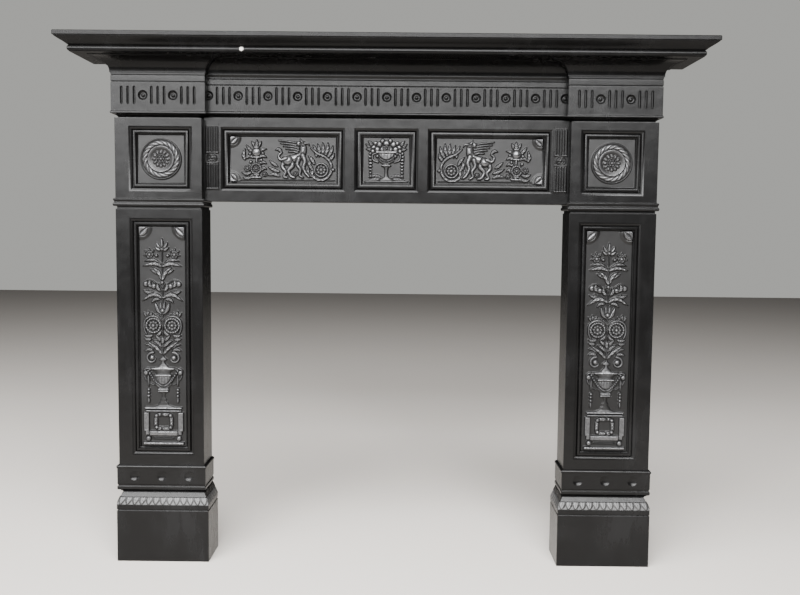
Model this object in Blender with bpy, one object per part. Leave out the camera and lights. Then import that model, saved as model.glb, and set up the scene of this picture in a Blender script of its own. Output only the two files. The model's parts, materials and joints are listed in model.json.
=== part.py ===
"""Cast-iron fireplace surround: shelf, header and two jambs.

Metres, +Z up. The back of every casting stands in the wall plane, the front faces -Y, and the
origin is the middle of the footprint on the floor. Places on the front are given as x, depth out
from the wall, and height.
"""

from math import cos, pi, radians, sin
from typing import NamedTuple

import bmesh
import bpy
from mathutils import Matrix, Vector

# Opening and castings
OPENING_WIDTH = 0.9650
OPENING_HEIGHT = 0.9665
SEAT_GAP = 0.0003
CUT_CLEAR = 0.0200
CASTING_WALL = 0.0100
CHANNEL_RIM = 0.0145
FOOT_PLATE = 0.0120

# Jambs
JAMB_WIDTH = 0.2285
LEG_DEPTH = 0.1003
PLINTH_DEPTH = 0.1216
PLINTH_INWARD = 0.0160
PLINTH_OUTWARD = 0.0015
PLINTH_HEIGHT = 0.1330
PLINTH_CAP_HEIGHT = 0.0520
CAP_SLOPE = 0.0090
BAND_HEIGHT = 0.0670
BAND_PROUD = 0.0045
NECK_DROP = 0.0165
NECK_HEIGHT = 0.0220
NECK_PROUD = 0.0060
BLOCK_PROUD = 0.0065

# Header and frieze
HEADER_DEPTH = 0.0723
HEADER_HEIGHT = 0.2145
HEADER_RIM = 0.0120
NECKING_HEIGHT = 0.0105
FRIEZE_HEIGHT = 0.1045
FRIEZE_PROUD = 0.0040
FRIEZE_FILLET = 0.0020
LINE_DEPTH = 0.0022

# Shelf
BED_HEIGHT = 0.0325
BED_SPREAD = 0.0395
SHELF_THICKNESS = 0.0521
SHELF_OVERHANG = 0.1092
SHELF_EDGE = 0.0315
SHELF_PLATE = 0.0100

# Frieze ornament
FRIEZE_REPEATS = 12
FRIEZE_END = 0.0133
FLUTES_IN_GROUP = 3
FLUTE_PITCH = 0.0165
FLUTE_WIDTH = 0.0062
FLUTE_DEPTH = 0.0030
FLUTE_START = 0.0235
FLUTE_HEIGHT = 0.0480
ROUNDEL_RADIUS = 0.0120
ROUNDEL_DEPTH = 0.0035

# Plinth leaves and band roundels
PLINTH_LEAVES = 12
LEAF_RISE = 0.0045
BAND_ROUNDEL_RADIUS = 0.0160
BAND_ROUNDEL_DEPTH = 0.0040

# Sunk panels
PANEL_RECESS = 0.0100
JAMB_MOULDING = 0.0250
HEADER_MOULDING = 0.0215
PANEL_OUTER_MARGIN = 0.0360
PANEL_INNER_MARGIN = 0.0275
LEG_PANEL_END_MARGIN = 0.0240
LEG_PANEL_TOP_MARGIN = 0.0340
HEADER_PANEL_MARGIN = 0.0265
PANEL_TOP_MARGIN = 0.0230
CENTRE_PANEL_WIDTH = 0.1660
PANEL_PARTING = 0.0250
STRIP_WIDTH = 0.0415
STRIP_MARGIN = 0.0070
JAMB_BOSS = 0.0330
HEADER_BOSS = 0.0220

# Relief
RELIEF_RISE = 0.0080
RELIEF_SINK = 0.0015
RELIEF_ROOT = 0.0040
PATERA_LEAVES = 14
PATERA_PETALS = 12


class Footprint(NamedTuple):
    """Plan of a jamb block: its inner and outer side, and how far it stands out."""

    inner: float
    outer: float
    depth: float

    def grown(self, inward, outward, forward):
        """The same plan, larger by a named amount on each free side."""
        return Footprint(self.inner - inward, self.outer + outward, self.depth + forward)


class Field(NamedTuple):
    """The ground of a sunk panel, where relief is placed by shares of its size."""

    centre: float
    bottom: float
    width: float
    height: float
    ground: float

    def x(self, share):
        """A place across the field, from -1 at one side to 1 at the other."""
        return self.centre + share * self.width / 2.0

    def z(self, share):
        """A height on the field, from 0 at its bottom to 1 at its top."""
        return self.bottom + share * self.height

    def size(self, share):
        """A length on the field, as a share of its shorter side."""
        return share * min(self.width, self.height)


# Plans and heights that follow from the sizes
JAMB_INNER = OPENING_WIDTH / 2.0
LEG = Footprint(JAMB_INNER, JAMB_INNER + JAMB_WIDTH, LEG_DEPTH)
PLINTH = LEG.grown(PLINTH_INWARD, PLINTH_OUTWARD, PLINTH_DEPTH - LEG_DEPTH)
BAND = LEG.grown(BAND_PROUD, BAND_PROUD, BAND_PROUD)
FRIEZE_BLOCK = LEG.grown(BLOCK_PROUD * 1.65, BLOCK_PROUD, BLOCK_PROUD)
BAND_BOTTOM = PLINTH_HEIGHT + PLINTH_CAP_HEIGHT
BAND_TOP = BAND_BOTTOM + BAND_HEIGHT
NECK_BOTTOM = OPENING_HEIGHT - NECK_DROP
NECK_TOP = NECK_BOTTOM + NECK_HEIGHT
BLOCK_TOP = OPENING_HEIGHT + HEADER_HEIGHT
FRIEZE_BOTTOM = BLOCK_TOP + NECKING_HEIGHT
FRIEZE_TOP = FRIEZE_BOTTOM + FRIEZE_HEIGHT
SHELF_SOFFIT = FRIEZE_TOP + BED_HEIGHT
SHELF_TOP = SHELF_SOFFIT + SHELF_THICKNESS
SHELF_HALF = FRIEZE_BLOCK.outer + SHELF_OVERHANG
SHELF_DEPTH = FRIEZE_BLOCK.depth + SHELF_OVERHANG
FRIEZE_DEPTH = HEADER_DEPTH + FRIEZE_PROUD
FRIEZE_PITCH = (OPENING_WIDTH - 2.0 * FRIEZE_END) / FRIEZE_REPEATS
PANEL_BOTTOM = OPENING_HEIGHT + HEADER_PANEL_MARGIN
PANEL_TOP = BLOCK_TOP - PANEL_TOP_MARGIN
PANEL_SIDES = (JAMB_INNER + PANEL_INNER_MARGIN, LEG.outer - PANEL_OUTER_MARGIN)
WALL_Y = SHELF_DEPTH / 2.0


def at(x, depth, z):
    """A place on the surround, with its depth measured out from the wall."""
    return Vector((x, WALL_Y - depth, z))


# Meshes and objects


def link(name, mesh, collection):
    """Put a mesh in the file as an object in one collection."""
    obj = bpy.data.objects.new(name, mesh)
    collection.objects.link(obj)
    return obj


def mesh_from(name, bm):
    """Close off a bmesh as a mesh whose faces point outward."""
    bmesh.ops.recalc_face_normals(bm, faces=bm.faces)
    mesh = bpy.data.meshes.new(name)
    bm.to_mesh(mesh)
    bm.free()
    return mesh


def box(name, low, high):
    """A box between two opposite corners."""
    bm = bmesh.new()
    size = [abs(b - a) for a, b in zip(low, high)]
    middle = (low + high) / 2.0
    matrix = Matrix.Translation(middle) @ Matrix.Diagonal((*size, 1.0))
    bmesh.ops.create_cube(bm, size=1.0, matrix=matrix)
    return mesh_from(name, bm)


def loft(name, rings):
    """A closed solid through rings that have the same number of corners, capped at both ends."""
    bm = bmesh.new()
    loops = [[bm.verts.new(corner) for corner in ring] for ring in rings]
    bm.faces.new(loops[0])
    bm.faces.new(loops[-1])
    for lower, upper in zip(loops, loops[1:]):
        for i, corner in enumerate(lower):
            j = (i + 1) % len(lower)
            bm.faces.new((corner, lower[j], upper[j], upper[i]))
    return mesh_from(name, bm)


def disc(name, x, depth, z, radii, rise, segments):
    """A round boss or dish on the front, from its back radius to its front radius."""
    bm = bmesh.new()
    turn = Matrix.Rotation(pi / 2.0, 4, "X") @ Matrix.Rotation(pi / segments, 4, "Z")
    matrix = Matrix.Translation(at(x, depth + rise / 2.0, z)) @ turn
    bmesh.ops.create_cone(bm, cap_ends=True, segments=segments, radius1=radii[0],
                          radius2=radii[1], depth=abs(rise), matrix=matrix)
    return mesh_from(name, bm)


def lump(name, x, depth, z, width, length, rise, lean=0.0, sides=(4, 2)):
    """A form in relief, long along its own axis, which leans from upright.

    With four sides it is a pointed leaf with a midrib, and with more it is a berry or a bud.
    """
    bm = bmesh.new()
    size = Matrix.Diagonal((width / 2.0, rise, length / 2.0, 1.0))
    turn = Matrix.Rotation(lean, 4, "Y")
    place = Matrix.Translation(at(x, depth - RELIEF_SINK, z))
    bmesh.ops.create_uvsphere(bm, u_segments=sides[0], v_segments=sides[1], radius=1.0,
                              matrix=place @ turn @ size)
    return mesh_from(name, bm)


def berry(name, x, depth, z, size, rise):
    """A round bead, fruit or knob in relief."""
    return lump(name, x, depth, z, size, size, rise, 0.0, (6, 3))


def turned(name, x, depth, outline, flatness, steps=8):
    """A vase form turned about an upright axis that lies in the ground of the relief."""
    bm = bmesh.new()
    verts = [bm.verts.new((radius, 0.0, z)) for radius, z in outline]
    edges = [bm.edges.new(pair) for pair in zip(verts, verts[1:])]
    bmesh.ops.spin(bm, geom=verts + edges, axis=(0.0, 0.0, 1.0), cent=(0.0, 0.0, 0.0),
                   angle=2.0 * pi, steps=steps, use_duplicate=False)
    bmesh.ops.remove_doubles(bm, verts=bm.verts, dist=0.00005)
    place = at(x, depth - RELIEF_SINK, 0.0)
    bm.transform(Matrix.Translation(place) @ Matrix.Diagonal((1.0, flatness, 1.0, 1.0)))
    for vert in bm.verts:
        vert.co.y = min(vert.co.y, place.y + RELIEF_ROOT)
    return mesh_from(name, bm)


def mirrored(mesh, name):
    """The same mesh on the other side of the middle plane."""
    twin = mesh.copy()
    twin.name = name
    twin.transform(Matrix.Diagonal((-1.0, 1.0, 1.0, 1.0)))
    twin.flip_normals()
    return twin


def combine(name, body, cuts, additions):
    """Cut the body, then join the additions to it, and return the result as one mesh."""
    scratch = bpy.data.collections.new(name + "_work")
    bpy.context.scene.collection.children.link(scratch)
    base = link(name + "_base", body, scratch)
    for operation, meshes in (("DIFFERENCE", cuts), ("UNION", additions)):
        if not meshes:
            continue
        operands = bpy.data.collections.new(name + "_" + operation.lower())
        scratch.children.link(operands)
        for mesh in meshes:
            cutter = link(mesh.name, mesh, operands)
            cutter.hide_render = True
            cutter.display_type = "WIRE"
        boolean = base.modifiers.new(operation.title(), "BOOLEAN")
        boolean.operation = operation
        boolean.operand_type = "COLLECTION"
        boolean.collection = operands
        boolean.solver = "EXACT"
        boolean.use_self = operation == "UNION"
    evaluated = base.evaluated_get(bpy.context.evaluated_depsgraph_get())
    result = bpy.data.meshes.new_from_object(evaluated)
    result.name = name
    for obj in list(scratch.all_objects):
        bpy.data.objects.remove(obj)
    for child in list(scratch.children):
        bpy.data.collections.remove(child)
    bpy.data.collections.remove(scratch)
    return result


# Plans and profiles


def block_ring(plan, offset, z):
    """The four plan corners of a jamb block, grown outward at its front and sides."""
    return [at(plan.inner - offset, 0.0, z), at(plan.inner - offset, plan.depth + offset, z),
            at(plan.outer + offset, plan.depth + offset, z), at(plan.outer + offset, 0.0, z)]


def board_ring(inset, z):
    """The plan of the shelf board, drawn in at its front and ends."""
    half = SHELF_HALF - inset
    depth = SHELF_DEPTH - inset
    return [at(-half, 0.0, z), at(-half, depth, z), at(half, depth, z), at(half, 0.0, z)]


def bed_ring(offset, z):
    """The plan of the bed moulding, which breaks forward over each jamb."""
    outer = FRIEZE_BLOCK.outer + offset
    inner = FRIEZE_BLOCK.inner - offset
    front = FRIEZE_BLOCK.depth + offset
    back = FRIEZE_DEPTH + offset
    half = [(inner, back), (inner, front), (outer, front), (outer, 0.0)]
    left = [at(-x, depth, z) for x, depth in reversed(half)]
    return left + [at(x, depth, z) for x, depth in half]


def frieze_lines():
    """The two grooves above the flutes, as offsets and heights that the whole frieze shares."""
    lower, upper = LINE_DEPTH, LINE_DEPTH * 0.7
    shares = [(0.0, 0.761), (lower, 0.767), (lower, 0.784), (0.0, 0.790),
              (0.0, 0.928), (upper, 0.933), (upper, 0.943), (0.0, 0.948)]
    lines = [(-drop, FRIEZE_BOTTOM + share * FRIEZE_HEIGHT) for drop, share in shares]
    return lines + [(0.0, FRIEZE_TOP - SEAT_GAP)]


def panel_recess(name, x_range, z_range, depth, moulding):
    """The cut of a sunk panel: a step, a hollow and a second step down to its ground."""
    profile = [(0.0, -0.40), (0.0, 0.25), (0.12, 0.45), (0.45, 0.55), (0.80, 0.60), (1.0, 1.0)]
    rings = []
    for share, drop in profile:
        inset = share * moulding
        level = depth - drop * PANEL_RECESS
        x0, x1 = x_range[0] + inset, x_range[1] - inset
        z0, z1 = z_range[0] + inset, z_range[1] - inset
        rings.append([at(x0, level, z0), at(x1, level, z0), at(x1, level, z1), at(x0, level, z1)])
    return loft(name, rings)


def field_in(x_range, z_range, depth, moulding):
    """The field that a panel recess leaves inside its moulding."""
    return Field((x_range[0] + x_range[1]) / 2.0, z_range[0] + moulding,
                 x_range[1] - x_range[0] - 2.0 * moulding,
                 z_range[1] - z_range[0] - 2.0 * moulding, depth - PANEL_RECESS)


# Ornament


def flute(x, depth):
    """The cut of one upright flute with pointed ends and sloping sides."""
    bm = bmesh.new()
    radius = FLUTE_WIDTH / 2.0
    middle = FRIEZE_BOTTOM + FLUTE_START + radius
    matrix = Matrix.Translation(at(x, depth, middle)) @ Matrix.Rotation(pi / 2.0, 4, "X")
    bmesh.ops.create_cone(bm, cap_ends=True, segments=6, radius1=radius * 0.5,
                          radius2=radius * 1.5, depth=2.0 * FLUTE_DEPTH, matrix=matrix)
    bmesh.ops.translate(bm, vec=(0.0, 0.0, FLUTE_HEIGHT - FLUTE_WIDTH),
                        verts=[vert for vert in bm.verts if vert.co.z > middle])
    return mesh_from("flute", bm)


def roundel(x, depth, z, radius, drop):
    """A sunk dish and the raised button in its middle, as one cut and one addition."""
    dish = disc("dish", x, depth - drop, z, (radius * 0.80, radius * 1.06), drop * 1.3, 8)
    button = disc("button", x, depth - drop * 1.3, z, (radius * 0.52, radius * 0.32), drop * 1.3, 6)
    return dish, button


def frieze_ornament(roundels, flutes, depth):
    """The cuts and additions of a run of frieze: roundels, and flutes in groups between them."""
    cuts, additions = [], []
    for x in roundels:
        dish, button = roundel(x, depth, FRIEZE_BOTTOM + FLUTE_START + FLUTE_HEIGHT / 2.0,
                               ROUNDEL_RADIUS, ROUNDEL_DEPTH)
        cuts.append(dish)
        additions.append(button)
    for x in flutes:
        for i in range(FLUTES_IN_GROUP):
            cuts.append(flute(x + (i - (FLUTES_IN_GROUP - 1) / 2.0) * FLUTE_PITCH, depth))
    return cuts, additions


def leaf(field, x, z, width, length, lean, rise=RELIEF_RISE):
    """A pointed leaf on a field, placed and sized by shares of it."""
    return lump("leaf", field.x(x), field.ground, field.z(z), field.size(width),
                field.size(length), rise, radians(lean))


def leaf_pair(field, x, z, width, length, lean):
    """Two leaves mirrored about the middle line of a field."""
    return [leaf(field, side * x, z, width, length, side * lean) for side in (-1, 1)]


def petal_ring(centre, radius, count, width, length, rise):
    """Petals or leaves that radiate from a centre, given as x, depth and height."""
    x, depth, z = centre
    petals = []
    for i in range(count):
        angle = 2.0 * pi * i / count
        petals.append(lump("petal", x + radius * sin(angle), depth, z + radius * cos(angle),
                           width, length, rise, angle))
    return petals


def rosette(x, depth, z, radius, rise=RELIEF_RISE):
    """A round flower: a low disc and a raised eye."""
    return [disc("rosette", x, depth - RELIEF_SINK, z, (radius, radius * 0.8),
                 rise * 0.5 + RELIEF_SINK, 8),
            disc("eye", x, depth - RELIEF_SINK, z, (radius * 0.4, radius * 0.25),
                 rise + RELIEF_SINK, 6)]


def urn(field, outline, flatness):
    """A turned vase in the middle of a field, its outline in shares of the field."""
    return turned("urn", field.x(0.0), field.ground,
                  [(field.size(radius), field.z(height)) for radius, height in outline], flatness)


def corner_boss(field, side, end, radius):
    """A raised quarter round, in two steps, that fills one corner of a field."""
    corner_x = field.x(side)
    corner_z = field.z(end)
    up = 1.0 if end == 0 else -1.0
    bosses = []
    for reach, rise in ((radius, RELIEF_RISE * 0.45), (radius * 0.6, RELIEF_RISE * 0.8)):
        ring = [(0.0, 0.0)] + [(reach * cos(turn), reach * sin(turn))
                               for turn in (radians(18 * i) for i in range(6))]
        bosses.append(loft("boss", [[at(corner_x - side * (a - RELIEF_SINK), depth,
                                        corner_z + up * (b - RELIEF_SINK)) for a, b in ring]
                                    for depth in (field.ground - RELIEF_SINK, field.ground + rise)]))
    return bosses


# Relief fields


def leg_relief(field):
    """The tall panel: leaves over an urn that stands on a pedestal."""
    parts = [leaf(field, 0.0, 0.929, 0.12, 0.26, 0)]
    for z, x, width, length, lean in (
            (0.890, 0.30, 0.10, 0.31, 35), (0.842, 0.38, 0.12, 0.35, 60),
            (0.793, 0.31, 0.14, 0.38, 45), (0.680, 0.52, 0.17, 0.52, 115),
            (0.581, 0.42, 0.12, 0.35, 70), (0.500, 0.59, 0.12, 0.35, 40),
            (0.449, 0.35, 0.12, 0.36, 120)):
        parts += leaf_pair(field, x, z, width, length, lean)
    half = field.size(0.035)
    parts.append(loft("stem", [[at(field.centre + x, field.ground + depth, field.z(z)) for x, depth in
                                ((-half, -RELIEF_SINK), (half, -RELIEF_SINK), (0.0, RELIEF_RISE * 0.6))]
                               for z in (0.39, 0.917)]))
    parts.append(urn(field, [(0.0, 0.600), (0.07, 0.608), (0.11, 0.629), (0.19, 0.656),
                             (0.0, 0.656)], 0.5))
    for side in (-1, 1):
        parts.append(berry("berry", field.x(side * 0.40), field.ground, field.z(0.736),
                           field.size(0.13), RELIEF_RISE))
        parts += rosette(field.x(side * 0.52), field.ground, field.z(0.5525), field.size(0.18))
        parts += rosette(field.x(side * 0.45), field.ground, field.z(0.402), field.size(0.10))
    parts.append(urn(field, [(0.0, 0.162), (0.24, 0.162), (0.22, 0.175), (0.09, 0.185),
                             (0.14, 0.198), (0.07, 0.219), (0.08, 0.242), (0.23, 0.263),
                             (0.31, 0.293), (0.30, 0.315), (0.365, 0.337), (0.35, 0.349),
                             (0.12, 0.364), (0.10, 0.385), (0.0, 0.395)], 0.35))
    for low, high, half, rise in ((0.035, 0.0576, 0.47, 0.85), (0.055, 0.149, 0.41, 0.6),
                                  (0.1466, 0.1605, 0.48, 1.0)):
        reach = field.size(half)
        parts.append(box("pedestal", at(field.centre - reach, field.ground - RELIEF_SINK, field.z(low)),
                         at(field.centre + reach, field.ground + rise * RELIEF_RISE, field.z(high))))
    parts += rosette(field.centre, field.ground + RELIEF_RISE * 0.6, field.z(0.102),
                     field.size(0.165), RELIEF_RISE * 0.6)
    for side in (-1, 1):
        parts.append(berry("foot", field.x(side * 0.66), field.ground, field.z(0.023),
                           field.size(0.15), RELIEF_RISE * 0.9))
        for i in range(4):
            parts.append(leaf(field, side * (0.82 - 0.017 * i), 0.310 - 0.029 * i, 0.08, 0.12, 0,
                              RELIEF_RISE * 0.75))
    return parts


def side_panel_relief(field):
    """A long header panel: volute and sprays, a winged beast, a flowering stand."""
    parts = rosette(field.x(-0.728), field.ground, field.z(0.471), field.size(0.18))
    for x, z, width, length, lean in (
            (-0.855, 0.766, 0.115, 0.36, -30), (-0.671, 0.799, 0.107, 0.33, 15),
            (-0.502, 0.684, 0.115, 0.38, 60), (-0.855, 0.193, 0.115, 0.33, 215),
            (-0.530, 0.209, 0.107, 0.41, 105), (-0.304, 0.422, 0.197, 0.43, 60),
            (-0.219, 0.635, 0.131, 0.33, 10), (-0.064, 0.553, 0.131, 0.49, 40),
            (-0.021, 0.389, 0.107, 0.46, 62), (-0.134, 0.225, 0.082, 0.30, 150),
            (-0.346, 0.209, 0.082, 0.30, 190), (0.148, 0.160, 0.098, 0.41, 95),
            (0.332, 0.373, 0.115, 0.36, 20), (0.572, 0.373, 0.115, 0.36, -20),
            (0.332, 0.750, 0.098, 0.28, -50), (0.587, 0.750, 0.098, 0.28, 50),
            (0.756, 0.209, 0.098, 0.41, 80), (0.827, 0.488, 0.098, 0.33, 25)):
        parts.append(leaf(field, x, z, width, length, lean))
    half = field.size(0.033)
    parts.append(box("stand", at(field.x(0.452) - half, field.ground - RELIEF_SINK, field.z(0.08)),
                     at(field.x(0.452) + half, field.ground + RELIEF_RISE * 0.6, field.z(0.78))))
    parts += rosette(field.x(0.452), field.ground, field.z(0.848), field.size(0.098))
    parts += rosette(field.x(-0.233), field.ground, field.z(0.80), field.size(0.057))
    for end in (0, 1):
        parts += corner_boss(field, 1, end, HEADER_BOSS)
    return parts


def centre_panel_relief(field):
    """The square header panel: a two-handled urn heaped with fruit, with hanging husks."""
    parts = [urn(field, [(0.0, 0.094), (0.164, 0.094), (0.139, 0.143), (0.049, 0.193),
                         (0.082, 0.258), (0.213, 0.340), (0.246, 0.471), (0.197, 0.570),
                         (0.238, 0.619), (0.0, 0.619)], 0.4)]
    for i in range(5):
        angle = radians(-80 + 40 * i)
        parts.append(berry("fruit", field.centre + field.size(0.164) * sin(angle), field.ground,
                           field.z(0.652) + field.size(0.148) * cos(angle), field.size(0.123),
                           RELIEF_RISE * 1.1))
    for z, x, width, length, lean in ((0.553, 0.585, 0.066, 0.21, 10), (0.816, 0.585, 0.098, 0.30, 65),
                                      (0.209, 0.585, 0.098, 0.28, 75), (0.422, 0.83, 0.066, 0.21, 0),
                                      (0.635, 0.83, 0.057, 0.16, 0)):
        parts += leaf_pair(field, x, z, width, length, lean)
    return parts


def patera(field):
    """The round flower of a corner block."""
    middle = field.z(0.5)
    base = disc("patera", field.centre, field.ground - RELIEF_SINK, middle,
                (field.size(0.31), field.size(0.29)), RELIEF_RISE * 0.45 + RELIEF_SINK, 12)
    leaves = petal_ring((field.centre, field.ground, middle), field.size(0.385), PATERA_LEAVES,
                        field.size(0.14), field.size(0.19), RELIEF_RISE)
    petals = petal_ring((field.centre, field.ground + RELIEF_RISE * 0.45, middle),
                        field.size(0.195), PATERA_PETALS, field.size(0.083), field.size(0.15),
                        RELIEF_RISE * 0.75)
    eye = disc("eye", field.centre, field.ground, middle, (field.size(0.105), field.size(0.07)),
               RELIEF_RISE * 1.2, 8)
    return [base, eye] + leaves + petals


def end_strip():
    """The narrow upright strip at the end of the header: reeds over a small rosette."""
    strip = Field(JAMB_INNER - STRIP_WIDTH / 2.0, PANEL_BOTTOM, STRIP_WIDTH,
                  PANEL_TOP - PANEL_BOTTOM, HEADER_DEPTH)
    rise = RELIEF_RISE * 0.3
    parts = [box("reed", at(strip.x(i * 0.5 - 0.15), strip.ground - RELIEF_SINK, strip.z(0.62)),
                 at(strip.x(i * 0.5 + 0.15), strip.ground + rise, strip.z(1.03)))
             for i in (-1, 0, 1)]
    parts += rosette(strip.centre, strip.ground, strip.z(0.54), strip.size(0.26), RELIEF_RISE * 0.6)
    parts.append(box("strip_foot", at(strip.x(-0.7), strip.ground - RELIEF_SINK, strip.z(-0.05)),
                     at(strip.x(0.7), strip.ground + rise, strip.z(-0.01))))
    return parts


# Castings


def jamb_body():
    """The jamb's blocks and mouldings from the floor to the top of the frieze."""
    cap = [(PLINTH, 0.0, 0.0), (PLINTH, 0.0, 0.0), (PLINTH, 0.22, 0.02), (PLINTH, 0.22, 0.09),
           (PLINTH, -0.33, 0.115), (PLINTH, -0.33, 0.26), (PLINTH, 0.0, 0.29),
           (PLINTH, -0.5, 0.52), (PLINTH, -1.0, 0.73), (PLINTH, -1.0, 0.93), (BAND, -0.33, 0.95)]
    band = [(BAND, -0.33, 0.0), (BAND, 0.0, 0.015), (BAND, 0.0, 0.19), (BAND, -0.13, 0.21),
            (BAND, 0.0, 0.23), (BAND, 0.0, 0.94), (BAND, 0.17, 0.955), (BAND, 0.17, 1.0)]
    neck = [(LEG, 0.0, 0.0), (LEG, 0.75, 0.07), (LEG, 1.0, 0.23), (LEG, 0.75, 0.41),
            (LEG, 0.5, 0.455), (LEG, 0.5, 0.636), (LEG, 0.83, 0.727), (LEG, 0.83, 0.91),
            (LEG, 0.0, 1.0)]
    steps = [(PLINTH, 0.0, 0.0)]
    steps += [(plan, share * CAP_SLOPE, PLINTH_HEIGHT + rise * PLINTH_CAP_HEIGHT)
              for plan, share, rise in cap[1:]]
    steps += [(plan, share * CAP_SLOPE, BAND_BOTTOM + rise * BAND_HEIGHT)
              for plan, share, rise in band]
    steps.append((LEG, 0.0, BAND_TOP + 0.03 * BAND_HEIGHT))
    steps += [(plan, share * NECK_PROUD, NECK_BOTTOM + rise * NECK_HEIGHT)
              for plan, share, rise in neck]
    steps += [(LEG, 0.0, BLOCK_TOP), (LEG, -FRIEZE_FILLET, BLOCK_TOP + 0.1 * NECKING_HEIGHT),
              (LEG, -FRIEZE_FILLET, BLOCK_TOP + 0.85 * NECKING_HEIGHT),
              (FRIEZE_BLOCK, FRIEZE_FILLET, FRIEZE_BOTTOM),
              (FRIEZE_BLOCK, FRIEZE_FILLET, FRIEZE_BOTTOM + 0.043 * FRIEZE_HEIGHT),
              (FRIEZE_BLOCK, 0.0, FRIEZE_BOTTOM + 0.062 * FRIEZE_HEIGHT)]
    steps += [(FRIEZE_BLOCK, offset, z) for offset, z in frieze_lines()]
    return loft("jamb", [block_ring(*step) for step in steps])


def jamb():
    """The right jamb casting: a channel open at the back, with all its ornament."""
    leg_heights = (BAND_TOP + LEG_PANEL_END_MARGIN, NECK_BOTTOM - LEG_PANEL_TOP_MARGIN)
    square_heights = (PANEL_BOTTOM, PANEL_TOP)
    leg_field = field_in(PANEL_SIDES, leg_heights, LEG.depth, JAMB_MOULDING)
    square_field = field_in(PANEL_SIDES, square_heights, LEG.depth, JAMB_MOULDING)
    channel_front = leg_field.ground - CASTING_WALL
    cuts = [
        box("channel", at(LEG.inner + CASTING_WALL, -CUT_CLEAR, FOOT_PLATE),
            at(LEG.outer - CASTING_WALL, channel_front, FRIEZE_TOP - CHANNEL_RIM)),
        box("header_seat", at(PLINTH.inner - CUT_CLEAR, -CUT_CLEAR, OPENING_HEIGHT - SEAT_GAP),
            at(JAMB_INNER, FRIEZE_DEPTH + FRIEZE_FILLET + SEAT_GAP, FRIEZE_TOP + CUT_CLEAR)),
        panel_recess("leg_panel", PANEL_SIDES, leg_heights, LEG.depth, JAMB_MOULDING),
        panel_recess("square_panel", PANEL_SIDES, square_heights, LEG.depth, JAMB_MOULDING),
    ]
    middle = (FRIEZE_BLOCK.inner + FRIEZE_BLOCK.outer) / 2.0
    frieze_cuts, additions = frieze_ornament([middle + i * FRIEZE_PITCH / 2.0 for i in (-1, 1)],
                                             [middle + i * FRIEZE_PITCH for i in (-1, 0, 1)],
                                             FRIEZE_BLOCK.depth)
    cuts += frieze_cuts
    for i in (-1, 0, 1):
        dish, button = roundel(middle + i * JAMB_WIDTH * 0.32, BAND.depth,
                               BAND_BOTTOM + 0.59 * BAND_HEIGHT, BAND_ROUNDEL_RADIUS,
                               BAND_ROUNDEL_DEPTH)
        cuts.append(dish)
        additions.append(button)
    additions += leg_relief(leg_field) + patera(square_field)
    for side in (-1, 1):
        additions += corner_boss(leg_field, side, 1, JAMB_BOSS)
    pitch = (PLINTH.outer - PLINTH.inner) / (PLINTH_LEAVES + 0.5)
    for i in range(PLINTH_LEAVES):
        x = (PLINTH.outer + PLINTH.inner) / 2.0 + (i - (PLINTH_LEAVES - 1) / 2.0) * pitch
        additions.append(lump("tongue", x, PLINTH.depth - CAP_SLOPE * 0.39,
                              PLINTH_HEIGHT + 0.5 * PLINTH_CAP_HEIGHT, pitch * 0.8,
                              PLINTH_CAP_HEIGHT * 0.44, LEAF_RISE))
    return combine("jamb", jamb_body(), cuts, additions)


def header():
    """The header casting: frieze above, three sunk panels and two reeded strips below."""
    half = JAMB_INNER - SEAT_GAP
    fillet = FRIEZE_DEPTH + FRIEZE_FILLET
    steps = [(HEADER_DEPTH, OPENING_HEIGHT), (HEADER_DEPTH, BLOCK_TOP + 0.2 * NECKING_HEIGHT),
             (HEADER_DEPTH + 0.75 * FRIEZE_PROUD, BLOCK_TOP + 0.4 * NECKING_HEIGHT),
             (HEADER_DEPTH + 0.75 * FRIEZE_PROUD, BLOCK_TOP + 0.8 * NECKING_HEIGHT),
             (fillet, BLOCK_TOP + 0.9 * NECKING_HEIGHT),
             (fillet, FRIEZE_BOTTOM + 0.043 * FRIEZE_HEIGHT),
             (FRIEZE_DEPTH, FRIEZE_BOTTOM + 0.062 * FRIEZE_HEIGHT)]
    steps += [(FRIEZE_DEPTH + offset, z) for offset, z in frieze_lines()]
    body = loft("header", [[at(-half, 0.0, z), at(-half, depth, z), at(half, depth, z),
                            at(half, 0.0, z)] for depth, z in steps])
    heights = (PANEL_BOTTOM, PANEL_TOP)
    centre_half = CENTRE_PANEL_WIDTH / 2.0
    right_sides = (centre_half + PANEL_PARTING, JAMB_INNER - STRIP_WIDTH - STRIP_MARGIN)
    left_sides = (-right_sides[1], -right_sides[0])
    centre_sides = (-centre_half, centre_half)
    ground = HEADER_DEPTH - PANEL_RECESS
    cuts = [box("hollow", at(HEADER_RIM - half, -CUT_CLEAR, OPENING_HEIGHT + HEADER_RIM),
                at(half - HEADER_RIM, ground - CASTING_WALL, FRIEZE_TOP - HEADER_RIM))]
    cuts += [panel_recess("panel", sides, heights, HEADER_DEPTH, HEADER_MOULDING)
             for sides in (left_sides, centre_sides, right_sides)]
    repeats = FRIEZE_REPEATS // 2
    frieze_cuts, additions = frieze_ornament(
        [i * FRIEZE_PITCH for i in range(-repeats, repeats + 1)],
        [(i + 0.5) * FRIEZE_PITCH for i in range(-repeats, repeats)], FRIEZE_DEPTH)
    cuts += frieze_cuts
    additions += centre_panel_relief(field_in(centre_sides, heights, HEADER_DEPTH, HEADER_MOULDING))
    right = side_panel_relief(field_in(right_sides, heights, HEADER_DEPTH, HEADER_MOULDING))
    right += end_strip()
    additions += right + [mirrored(mesh, mesh.name) for mesh in right]
    return combine("header", body, cuts, additions)


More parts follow.
